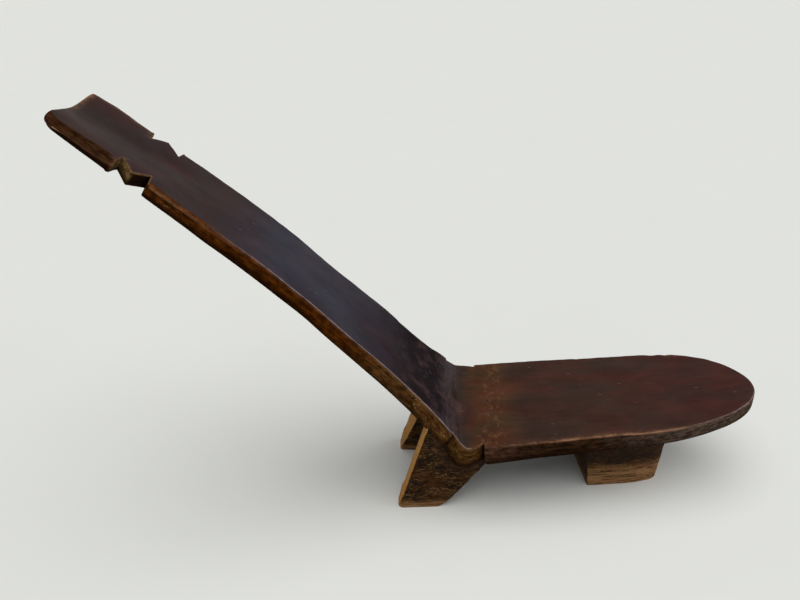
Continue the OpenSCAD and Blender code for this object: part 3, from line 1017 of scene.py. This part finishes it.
def part(tree, vector, index):
    """One part of a vector: 0, 1 or 2."""
    return add_node(tree, "ShaderNodeSeparateXYZ", Vector=vector).outputs[index]


def scaled(tree, vector, scale, turn=(0.0, 0.0, 0.0)):
    return add_node(tree, "ShaderNodeMapping", Vector=vector, Scale=scale, Rotation=turn).outputs["Vector"]


def noise(tree, vector, detail=4.0, roughness=0.55, distortion=0.0):
    values = {"Scale": 1.0, "Detail": detail, "Roughness": roughness, "Distortion": distortion}
    return add_node(tree, "ShaderNodeTexNoise", Vector=vector, **values).outputs["Fac"]


def pattern(tree, fibre, scale, turn=(0.0, 0.0, 0.0), **values):
    """Noise over the wood, stretched by a scale and turned."""
    return noise(tree, scaled(tree, fibre, scale, turn), **values)


def specks(tree, vector, rarity, size):
    """Sparse spots, in the cells of a pattern whose chance number passes the rarity."""
    cells = add_node(tree, "ShaderNodeTexVoronoi", Vector=vector, Scale=1.0).outputs
    chance = add_node(tree, "ShaderNodeSeparateColor", i0=cells["Color"]).outputs[0]
    picked = maths(tree, "GREATER_THAN", chance, rarity)
    return times(tree, picked, between(tree, cells["Distance"], size, 0.0))


def between(tree, value, low, high, start=0.0, end=1.0):
    """A value mapped smoothly from one range to another."""
    kind, settings = "ShaderNodeMapRange", {"interpolation_type": "SMOOTHSTEP"}
    return add_node(tree, kind, settings, i0=value, i1=low, i2=high, i3=start, i4=end).outputs[0]


def stretch(tree, value, start, full, fading, end):
    """1 over a stretch of a value, rising from its start and fading to its end."""
    rising = between(tree, value, start, full)
    return times(tree, rising, between(tree, value, end, fading))


def blended(tree, factor, first, second, kind="MIX"):
    settings = {"data_type": "RGBA", "blend_type": kind, "clamp_factor": True}
    return add_node(tree, "ShaderNodeMix", settings, i0=factor, i6=first, i7=second).outputs[2]


def colour(value):
    return (*value, 1.0)


def overlaid(tree, base, over, amount):
    """A colour with one tone laid over it, as much as an amount says."""
    return blended(tree, amount, base, colour(over))


def shaded(tree, base, value, low, high, darkest, brightest):
    """A colour made darker and brighter by a pattern, between two of its values."""
    shade = between(tree, value, low, high, darkest, brightest)
    return blended(tree, 1.0, base, shade, "MULTIPLY")


def tones_along(tree, place, stops):
    """A colour that follows a place along the board, through stops of place and tone."""
    low, high = stops[0][0], stops[-1][0]
    spread = add_node(tree, "ShaderNodeMapRange", i0=place, i1=low, i2=high, i3=0.0, i4=1.0).outputs[0]
    ramp = add_node(tree, "ShaderNodeValToRGB", i0=spread)
    elements = ramp.color_ramp.elements
    for index, (stop_place, value) in enumerate(stops):
        stop = elements[index] if index < 2 else elements.new(1.0)
        stop.position = (stop_place - low) / (high - low)
        stop.color = colour(value)
    return ramp.outputs["Color"]


def new_wood(name):
    material = bpy.data.materials.new(name)
    material.use_nodes = True
    material.node_tree.nodes.clear()
    return material, material.node_tree


def finish_wood(tree, base, roughness, height, height_scale, gloss, wax=0.0):
    """Ends a wood's tree in one shader, with bump from a height, and a coat of wax where it is polished."""
    bump = add_node(tree, "ShaderNodeBump", Strength=1.0, Distance=height_scale, Height=height)
    values = {"Base_Color": base, "Roughness": roughness, "Normal": bump.outputs[0]}
    values.update(Specular_IOR_Level=gloss, Coat_Roughness=0.24, Coat_IOR=1.5)
    shader = add_node(tree, "ShaderNodeBsdfPrincipled", **values)
    if isinstance(wax, bpy.types.NodeSocket):
        tree.links.new(wax, shader.inputs["Coat Weight"])
    add_node(tree, "ShaderNodeOutputMaterial", Surface=shader.outputs[0])


def tool_strokes(tree, fibre, scale, turn=(0.0, 0.0, 0.0)):
    """Thin curly lines that come and go, as a blade leaves them in rough wood."""
    stretched = scaled(tree, fibre, scale, turn)
    lines = noise(tree, stretched, detail=2, roughness=0.5, distortion=1.3)
    off_line = maths(tree, "ABSOLUTE", maths(tree, "SUBTRACT", lines, 0.5))
    where = pattern(tree, stretched, (0.8, 0.5, 0.5), detail=2)
    return times(tree, between(tree, off_line, 0.022, 0.006), between(tree, where, 0.50, 0.58))


def polished_face(tree, fibre, place, clouds):
    """Colour of the smooth upper face, with a painted sheen on the back, its stains, pits and pale scuffs,
    and the scuffs alone.
    """
    tones, head, seat = chair().tones, chair().head, chair().seat
    stops = [
        (-seat.reach, tones.nose),
        (-0.400, tones.nose),
        (-0.260, tones.seat),
        (-0.115, tones.seat),
        (-0.080, tones.bend),
        (-0.025, tones.bend),
        (-0.006, tones.crease),
        (0.008, tones.crease),
        # Partly painted sheen above the crease
        (0.032, tones.above_crease),
        (0.062, tones.hip),
        (0.130, tones.hip),
        (0.230, tones.low_back),
        # Painted sheen in the face's colour over the middle of the back
        (0.330, tones.painted_sheen),
        (0.450, tones.painted_sheen),
        (0.560, tones.upper_back),
        (0.680, tones.upper_back),
        (0.760, tones.head),
        (head.reach, tones.head),
    ]
    shifted = maths(tree, "ADD", place, between(tree, clouds, 0.25, 0.75, -0.020, 0.020))
    face = tones_along(tree, shifted, stops)
    stain = pattern(tree, fibre, (13, 24, 24), detail=5, roughness=0.6)
    face = shaded(tree, face, stain, 0.30, 0.70, 0.80, 1.20)
    warmth = pattern(tree, fibre, (7, 19, 19), (0, 0, 0.3), detail=3)
    warm, cool = (1.14, 0.92, 0.84, 1.0), (0.88, 1.06, 1.03, 1.0)
    warmed = blended(tree, between(tree, warmth, 0.38, 0.62), cool, warm)
    face = blended(tree, 1.0, face, warmed, "MULTIPLY")
    streaks = pattern(tree, fibre, (10, 130, 130), detail=5, distortion=0.3)
    face = shaded(tree, face, streaks, 0.28, 0.72, 0.92, 1.08)

    on_hips = stretch(tree, place, 0.015, 0.045, 0.120, 0.210)
    patches = pattern(tree, fibre, (24, 30, 30), (0, 0, 0.4), detail=6, roughness=0.62)
    mottled = times(tree, on_hips, between(tree, patches, 0.46, 0.68), 0.66)
    face = overlaid(tree, face, tones.mottle, mottled)

    skewed = maths(tree, "ADD", place, times(tree, part(tree, fibre, 1), 0.104))
    band = stretch(tree, skewed, -0.092, -0.066, -0.052, -0.026)
    crumbs = pattern(tree, fibre, (85, 70, 70), detail=7, roughness=0.74)
    face = overlaid(tree, face, tones.ember, times(tree, band, between(tree, crumbs, 0.47, 0.66), 0.45))
    # Dark pits in the wood near the bend, drawn in the same dark tone as the painted shade
    pits = specks(tree, scaled(tree, fibre, (120, 120, 120)), 0.86, 0.38)
    near_bend = stretch(tree, place, -0.110, -0.060, -0.025, -0.005)
    face = overlaid(tree, face, tones.soot, times(tree, pits, near_bend, 0.75))

    above_crease = stretch(tree, place, 0.000, 0.015, 0.045, 0.085)
    rubs = tool_strokes(tree, fibre, (150, 26, 60), (0, 0, 0.35))
    rubs = times(tree, rubs, above_crease, 0.50)
    dashes = specks(tree, scaled(tree, fibre, (70, 260, 260)), 0.985, 0.40)
    scratches = pattern(tree, fibre, (9, 420, 420), (0, 0, 0.12), detail=1)
    scratches = times(tree, between(tree, scratches, 0.73, 0.79), between(tree, stain, 0.40, 0.60), 0.22)
    scuffs = maths(tree, "MAXIMUM", maths(tree, "MAXIMUM", rubs, times(tree, dashes, 0.50)), scratches)
    return overlaid(tree, face, tones.scuff, scuffs), scuffs


def streaked_side(tree, fibre, place, fall):
    """Colour of the board's sides and underside, streaked and darker downwards with painted shade, and the
    grain alone.
    """
    tones, head, seat, waist = chair().tones, chair().head, chair().seat, chair().waist
    stops = [
        (-seat.reach, tones.nose_side),
        (-0.390, tones.nose_side),
        (-0.220, tones.seat_side),
        (-0.110, tones.seat_side),
        (-waist.reach - 0.001, tones.notch_side),
        (-waist.reach + 0.006, tones.roll),
        (0.025, tones.roll),
        (0.045, tones.hip_side),
        (0.190, tones.hip_side),
        (0.280, tones.back_side),
        (head_foot() - 0.003, tones.back_side),
        (head_foot() + 0.003, tones.head_side),
        (head.reach, tones.head_side),
    ]
    side = tones_along(tree, place, stops)
    foot, top, blur = neck_foot(), head_foot(), 0.001
    in_cuts = stretch(tree, place, foot - blur, foot + blur, top - blur, top + blur)
    # Painted light on the walls of the neck's cuts
    side = overlaid(tree, side, tones.painted_light_neck_walls, times(tree, in_cuts, between(tree, fall, 0.995, 0.960)))
    streaks = pattern(tree, fibre, (14, 230, 260), detail=7, roughness=0.62, distortion=0.5)
    blotches = pattern(tree, fibre, (70, 130, 130), detail=7, roughness=0.68)
    side = shaded(tree, side, streaks, 0.32, 0.66, 0.60, 1.45)
    side = shaded(tree, side, blotches, 0.34, 0.66, 0.45, 1.55)
    by_legs = stretch(tree, place, 0.010, 0.030, 0.110, 0.180)
    by_neck = times(tree, stretch(tree, place, 0.560, 0.620, 0.650, 0.655), 0.5)
    marks = tool_strokes(tree, fibre, (38, 150, 150), (0, 0.25, 0))
    marked = times(tree, marks, maths(tree, "MAXIMUM", by_legs, by_neck), 0.50)
    side = overlaid(tree, side, tones.scratch, marked)
    # Painted shade: the sides darken downwards and the underside most, less so beside the hips and towards
    # the nose
    by_hips = times(tree, stretch(tree, place, 0.030, 0.060, 0.300, 0.420), 0.45)
    darkest = maths(tree, "SUBTRACT", between(tree, place, -0.180, -0.260, 0.80, 0.30), by_hips)
    dark = times(tree, between(tree, fall, 0.45, 1.0), darkest)
    return overlaid(tree, side, tones.soot, dark), streaks


def wax_along(tree, place, wax):
    """How much wax shows along the board: least over the hips, most on the middle of the back."""
    strengths = [(-0.5, 0.70), (-0.12, 0.60), (-0.06, 0.40), (0.02, 0.30), (0.05, 0.20), (0.14, 0.20)]
    strengths += [(0.30, 0.85), (0.42, 1.00), (0.60, 0.80), (0.80, 0.75)]
    along = tones_along(tree, place, [(stop, (strength,) * 3) for stop, strength in strengths])
    return times(tree, along, wax)


def board_wood(name, wax):
    """Polished face, rubbed edges with a painted highlight, and dark, streaked sides with painted shade,
    all following the board's length.
    """
    tones = chair().tones
    material, tree = new_wood(name)
    fibre = mark(tree, "fibre", "Vector")
    place = part(tree, fibre, 0)
    clouds = pattern(tree, fibre, (9, 17, 17), detail=3)
    polish, inside, fall = mark(tree, "polish"), mark(tree, "inside"), mark(tree, "fall")
    face, scuffs = polished_face(tree, fibre, place, clouds)
    side, grain = streaked_side(tree, fibre, place, fall)
    base = blended(tree, between(tree, polish, 0.72, 0.98), side, face)

    crumbs = pattern(tree, fibre, (55, 90, 90), detail=6, roughness=0.7)
    worn = times(tree, mark(tree, "wear"), between(tree, crumbs, 0.36, 0.60, 0.40, 1.0))
    patchy = between(tree, crumbs, 0.42, 0.60)
    faint = times(tree, between(tree, inside, 0.012, 0.001), patchy, mark(tree, "band"))
    base = overlaid(tree, base, tones.rubbed, maths(tree, "ADD", worn, faint, clamp=True))
    # Painted highlight along the rounded upper edges, where the glint mark says; the same mask adds to the
    # wax coat
    arris = times(tree, stretch(tree, polish, 0.15, 0.45, 0.70, 0.98), mark(tree, "glint"))
    painted_highlight_amount = times(tree, arris, between(tree, crumbs, 0.34, 0.58, 0.14, 0.52))
    base = overlaid(tree, base, tones.painted_highlight, painted_highlight_amount)
    # Painted shade in the cuts, beside the step, in the notch and under the board
    base = overlaid(tree, base, tones.soot, mark(tree, "soot"))

    pores = pattern(tree, fibre, (45, 900, 900), detail=3)
    dull = between(tree, polish, 0.0, 1.0, 0.75, 0.48)
    roughness = maths(tree, "ADD", dull, times(tree, maths(tree, "SUBTRACT", clouds, 0.5), 0.25))
    roughness = maths(tree, "ADD", roughness, times(tree, scuffs, 0.5), clamp=True)
    relief = times(tree, maths(tree, "SUBTRACT", 1.06, polish), grain)
    height = maths(tree, "ADD", relief, times(tree, pores, 0.05))
    height = maths(tree, "SUBTRACT", height, times(tree, scuffs, 0.10))
    waxed = times(tree, wax_along(tree, place, wax), between(tree, clouds, 0.30, 0.70, 0.80, 1.20))
    waxed = times(tree, waxed, between(tree, polish, 0.55, 0.98))
    waxed = maths(tree, "ADD", waxed, times(tree, arris, 0.45), clamp=True)
    waxed = times(tree, waxed, maths(tree, "SUBTRACT", 1.0, scuffs))
    finish_wood(tree, base, roughness, height, 0.0009, 0.0, waxed)
    return material


def adzed_wood(name):
    """Rough wood of the legs and the foot: stained, scratched by the tool, and pale round the soles, with
    painted shade under the seat and on the legs' back faces a paler tone that is partly painted light.
    """
    tones = chair().tones
    material, tree = new_wood(name)
    fibre = mark(tree, "fibre", "Vector")
    clouds = pattern(tree, fibre, (44, 44, 50), detail=6, roughness=0.66, distortion=0.6)
    streaks = pattern(tree, fibre, (60, 150, 150), detail=7, roughness=0.68, distortion=1.6)
    pores = pattern(tree, fibre, (80, 700, 700), detail=3)
    base = blended(tree, between(tree, clouds, 0.42, 0.60), colour(tones.adzed_dark), colour(tones.adzed))
    base = shaded(tree, base, streaks, 0.36, 0.64, 0.60, 1.65)
    # Paler back faces of the legs: partly bare wood, partly painted light
    bare = times(tree, mark(tree, "bare"), between(tree, streaks, 0.32, 0.56, 0.55, 1.0))
    base = overlaid(tree, base, tones.bare, bare)
    grain = pattern(tree, fibre, (26, 60, 330), detail=6, roughness=0.66, distortion=0.4)
    worn = times(tree, mark(tree, "wear"), between(tree, grain, 0.37, 0.57, 0.12, 1.0))
    base = overlaid(tree, base, tones.sole, worn)
    # Painted shade under the seat
    base = overlaid(tree, base, tones.painted_shade_adzed, mark(tree, "soot"))
    level = tool_strokes(tree, fibre, (40, 60, 180), (0, 0.10, 0))
    slanting = tool_strokes(tree, fibre, (52, 60, 150), (0, 0.80, 0))
    steep = tool_strokes(tree, fibre, (60, 60, 130), (0, -0.60, 0))
    bright = tool_strokes(tree, fibre, (22, 60, 300), (0, -0.04, 0))
    marks = maths(tree, "MAXIMUM", times(tree, level, 0.50), times(tree, slanting, 0.45))
    marks = maths(tree, "MAXIMUM", marks, times(tree, steep, 0.25))
    marks = maths(tree, "MAXIMUM", marks, times(tree, bright, mark(tree, "wear"), 1.3))
    # The tool scratches fade where the painted shade lies
    marks = times(tree, marks, between(tree, mark(tree, "soot"), 0.60, 0.10, 0.14, 0.75))
    base = overlaid(tree, base, tones.scratch, marks)
    roughness = between(tree, streaks, 0.3, 0.7, 0.85, 0.62)
    height = maths(tree, "ADD", streaks, times(tree, pores, 0.35))
    height = maths(tree, "ADD", height, times(tree, clouds, 0.8))
    height = maths(tree, "SUBTRACT", height, times(tree, marks, 0.4))
    finish_wood(tree, base, roughness, height, 0.0018, 0.05)
    return material


def ready_wood(name, make, *values):
    """The material of that name, made the first time it is asked for."""
    return bpy.data.materials.get(name) or make(name, *values)


def back_wood():
    return ready_wood("polished_back", board_wood, 0.38)


def adze_tree():
    """Geometry nodes that leave scoops where the wood is rough, and let smooth faces wander a little."""
    name = "adze_marks"
    if name in bpy.data.node_groups:
        return bpy.data.node_groups[name]
    tree = bpy.data.node_groups.new(name, "GeometryNodeTree")
    inputs = {"Geometry": "Geometry", "Scoop width": "Float", "Scoop depth": "Float", "Wander": "Float"}
    inputs.update({"Seed": "Int", "Wood": "Material"})
    for socket, kind in inputs.items():
        tree.interface.new_socket(socket, in_out="INPUT", socket_type="NodeSocket" + kind)
    tree.interface.new_socket("Geometry", in_out="OUTPUT", socket_type="NodeSocketGeometry")
    given = tree.nodes.new("NodeGroupInput").outputs

    def stored(attribute, kind):
        node = add_node(tree, "GeometryNodeInputNamedAttribute", {"data_type": kind}, Name=attribute)
        return node.outputs["Attribute"]

    def stretched(vector, amount):
        node = add_node(tree, "ShaderNodeVectorMath", {"operation": "SCALE"}, i0=vector)
        tree.links.new(amount, node.inputs["Scale"])
        return node.outputs[0]

    fibre = stored("fibre", "FLOAT_VECTOR")
    along_grain = (0.55, 1.0, 1.0)
    longer = add_node(tree, "ShaderNodeVectorMath", {"operation": "MULTIPLY"}, i0=fibre, i1=along_grain)
    per_scoop = stretched(longer.outputs[0], maths(tree, "DIVIDE", 1.0, given["Scoop width"]))
    seed = given["Seed"]
    shift = add_node(tree, "ShaderNodeCombineXYZ", i0=seed, i1=seed, i2=seed).outputs[0]
    cells = add_node(tree, "ShaderNodeVectorMath", {"operation": "ADD"}, i0=per_scoop, i1=shift).outputs[0]
    soft = {"feature": "SMOOTH_F1"}
    voronoi = add_node(tree, "ShaderNodeTexVoronoi", soft, Vector=cells, Scale=1.0, Smoothness=0.15)
    ridge = maths(tree, "POWER", voronoi.outputs["Distance"], 2.0)
    scoop = maths(tree, "SUBTRACT", times(tree, ridge, 1.4), 1.0)
    cut = times(tree, scoop, given["Scoop depth"], stored("rough", "FLOAT"))
    slow = add_node(tree, "ShaderNodeTexNoise", Vector=cells, Scale=0.45, Detail=2.0).outputs["Fac"]
    drift = times(tree, maths(tree, "SUBTRACT", slow, 0.62), given["Wander"], 2.0)
    offset = stretched(stored("outward", "FLOAT_VECTOR"), maths(tree, "ADD", cut, drift))
    moved = add_node(tree, "GeometryNodeSetPosition", Geometry=given["Geometry"], Offset=offset).outputs[0]
    realised = add_node(tree, "GeometryNodeRealizeInstances", Geometry=moved).outputs[0]
    dressed = add_node(tree, "GeometryNodeSetMaterial", Geometry=realised, Material=given["Wood"])
    tree.links.new(dressed.outputs[0], tree.nodes.new("NodeGroupOutput").inputs[0])
    return tree


def adze(piece, wood, depth_share=1.0):
    """Runs the adze marks over a piece, and leaves it a plain mesh with its wood."""
    carving = chair().carving
    tree = adze_tree()
    settings = {
        "Scoop width": carving.scoop,
        "Scoop depth": carving.scoop_depth * depth_share,
        "Wander": carving.wander,
        "Seed": carving.seed,
        "Wood": wood,
    }
    modifier = piece.modifiers.new("adze_marks", "NODES")
    modifier.node_group = tree
    for item in tree.interface.items_tree:
        if item.in_out == "INPUT" and item.name in settings:
            modifier[item.identifier] = settings[item.name]
    piece.update_tag()
    graph = bpy.context.evaluated_depsgraph_get()
    carved = bpy.data.meshes.new_from_object(piece.evaluated_get(graph), depsgraph=graph)
    piece.modifiers.remove(modifier)
    plain = piece.data
    piece.data = carved
    bpy.data.meshes.remove(plain)
    carved.name = piece.name


def seat_in_frame(piece, node):
    """Hands a finished piece to the frame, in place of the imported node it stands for."""
    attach(piece, "root")
    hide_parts(node)


# Operators, one for each piece or pair of like pieces

SMOOTH_SHARE = 0.6


def hand_in_back(piece, node):
    """Finishes a member that is cut from the polished back."""
    adze(piece, back_wood(), SMOOTH_SHARE)
    seat_in_frame(piece, node)
    return {"FINISHED"}


class CarveHead(Operator):
    """Carve the dished head with its worn near edge"""

    bl_idname = "lobi_chair.carve_head"
    bl_label = "Carve head"

    def execute(self, context):
        return hand_in_back(carve_board("carved_head", head_plan, open_start=True), "head_rest")


class CarveNeck(Operator):
    """Carve the neck with its two V cuts and tooth on each edge"""

    bl_idname = "lobi_chair.carve_neck"
    bl_label = "Carve neck"

    def execute(self, context):
        return hand_in_back(carve_board("carved_neck", neck_plan), "toothed_neck")


class CarveBack(Operator):
    """Carve the long bowed back with its flaring hips"""

    bl_idname = "lobi_chair.carve_back"
    bl_label = "Carve back"

    def execute(self, context):
        return hand_in_back(carve_board("carved_back", back_plan), "back_slab")


class CarveWaist(Operator):
    """Carve the waist, where the board turns from the back into the seat"""

    bl_idname = "lobi_chair.carve_waist"
    bl_label = "Carve waist"

    def execute(self, context):
        return hand_in_back(carve_board("carved_waist", waist_plan, hollow=waist_undercut), "waist")


class CarveSeat(Operator):
    """Carve the round-nosed seat"""

    bl_idname = "lobi_chair.carve_seat"
    bl_label = "Carve seat"

    def execute(self, context):
        piece = carve_board("carved_seat", seat_plan, open_end=True)
        adze(piece, ready_wood("polished_seat", board_wood, 0.28), SMOOTH_SHARE)
        seat_in_frame(piece, "seat_slab")
        return {"FINISHED"}


class CarveLegs(Operator):
    """Carve the pair of leaning rear legs"""

    bl_idname = "lobi_chair.carve_legs"
    bl_label = "Carve rear legs"

    def execute(self, context):
        for name, node, side in (
            ("adzed_leg_left", "rear_leg_left", FAR),
            ("adzed_leg_right", "rear_leg_right", NEAR),
        ):
            piece = carve_leg(name, side)
            adze(piece, ready_wood("adzed_wood", adzed_wood))
            seat_in_frame(piece, node)
        return {"FINISHED"}


class CarveFoot(Operator):
    """Carve the block that carries the seat"""

    bl_idname = "lobi_chair.carve_foot"
    bl_label = "Carve front foot"

    def execute(self, context):
        piece = carve_foot("adzed_foot")
        adze(piece, ready_wood("adzed_wood", adzed_wood))
        seat_in_frame(piece, "front_foot")
        return {"FINISHED"}


def floor_paper(tone_of_floor):
    """Even, dull paper for the floor, with a faint tooth."""
    material, tree = new_wood("floor_paper")
    place = add_node(tree, "ShaderNodeTexCoord").outputs["Object"]
    tooth = pattern(tree, place, (3, 3, 3), detail=2)
    shade = between(tree, tooth, 0.2, 0.8, 0.995, 1.005)
    base = blended(tree, 1.0, colour(tone_of_floor), shade, "MULTIPLY")
    shader = add_node(tree, "ShaderNodeBsdfPrincipled", Base_Color=base, Roughness=1.0)
    shader.inputs["Specular IOR Level"].default_value = 0.0
    add_node(tree, "ShaderNodeOutputMaterial", Surface=shader.outputs[0])
    return material


def light_world(stage):
    """Even light on the object, and the floor's own colour where the camera or gloss sees past it."""
    world = bpy.data.worlds.new("studio")
    bpy.context.scene.world = world
    world.use_nodes = True
    tree = world.node_tree
    tree.nodes.clear()
    path = add_node(tree, "ShaderNodeLightPath").outputs
    seen = maths(tree, "MAXIMUM", path["Is Camera Ray"], path["Is Transmission Ray"])
    seen = maths(tree, "MAXIMUM", seen, path["Is Glossy Ray"])
    light = add_node(tree, "ShaderNodeBackground", Color=(0.94, 0.97, 1.0, 1.0), Strength=stage.sky)
    backdrop = add_node(tree, "ShaderNodeBackground", Color=colour(stage.floor_tone), Strength=1.0)
    mix = add_node(tree, "ShaderNodeMixShader", i0=seen, i1=light.outputs[0], i2=backdrop.outputs[0])
    add_node(tree, "ShaderNodeOutputWorld", Surface=mix.outputs[0])


def add_lamp(name, strength, spread, turn):
    lamp = bpy.data.lights.new(name, "SUN")
    lamp.energy = strength
    lamp.angle = spread
    holder = bpy.data.objects.new(name, lamp)
    holder.rotation_euler = turn
    bpy.context.scene.collection.objects.link(holder)


# Where the photograph was taken from, fitted from the features that come in mirrored pairs
CAMERA_PLACE = (-0.01581, -0.927897, 0.905191)
CAMERA_RIGHT = (0.9974, 0.0254, -0.0676)
CAMERA_DOWN = (-0.0468, -0.4861, -0.8727)
CAMERA_FORWARD = (-0.055, 0.8735, -0.4836)
SENSOR_MM = 36.0


def add_camera(stage):
    camera = bpy.data.cameras.new("camera")
    camera.lens = stage.focal
    camera.sensor_width = SENSOR_MM
    camera.clip_start = 0.01
    camera.clip_end = 200.0
    holder = bpy.data.objects.new("camera", camera)
    turn = Matrix((CAMERA_RIGHT, [-v for v in CAMERA_DOWN], [-v for v in CAMERA_FORWARD])).transposed()
    holder.matrix_world = Matrix.Translation(CAMERA_PLACE) @ turn.to_4x4()
    bpy.context.scene.collection.objects.link(holder)
    bpy.context.scene.camera = holder


class SetStage(Operator):
    """Lay the floor and set the lamps and the camera"""

    bl_idname = "lobi_chair.set_stage"
    bl_label = "Set stage"

    def execute(self, context):
        stage = chair().stage
        half = stage.floor / 2
        mesh = bpy.data.meshes.new("floor")
        corners = [(-half, -half, 0), (half, -half, 0), (half, half, 0), (-half, half, 0)]
        mesh.from_pydata(corners, [], [(0, 1, 2, 3)])
        floor = bpy.data.objects.new("floor", mesh)
        floor.data.materials.append(floor_paper(stage.floor_tone))
        context.scene.collection.objects.link(floor)
        light_world(stage)
        add_lamp("overhead_lamp", stage.lamp, stage.lamp_spread, (stage.lamp_lean, 0, 0))
        add_lamp("right_lamp", stage.right_lamp, stage.side_spread, (0, stage.side_lean, 0))
        add_camera(stage)
        context.scene.view_settings.view_transform = "Standard"
        return {"FINISHED"}


OPERATORS = [CarveHead, CarveNeck, CarveBack, CarveWaist, CarveSeat, CarveLegs, CarveFoot, SetStage]


class LobiChairPanel(Panel):
    """Buttons for carving each member of the chair"""

    bl_idname = "VIEW3D_PT_lobi_chair"
    bl_label = "Lobi chair"
    bl_space_type = "VIEW_3D"
    bl_region_type = "UI"
    bl_category = "Lobi chair"

    def draw(self, context):
        for operator in OPERATORS:
            self.layout.operator(operator.bl_idname)


SIZE_GROUPS = [BackSizes, HeadSizes, WaistSizes, SeatSizes, LegSizes, FootSizes, CarvingSizes]
CLASSES = SIZE_GROUPS + [WoodTones, StageSizes, LobiChair] + OPERATORS + [LobiChairPanel]


def register():
    for item in CLASSES:
        bpy.utils.register_class(item)
    bpy.types.Scene.lobi_chair = PointerProperty(type=LobiChair)


def unregister():
    del bpy.types.Scene.lobi_chair
    for item in reversed(CLASSES):
        bpy.utils.unregister_class(item)


def main():
    register()
    for operator in OPERATORS:
        group, name = operator.bl_idname.split(".")
        getattr(getattr(bpy.ops, group), name)()


if __name__ == "__main__":
    main()
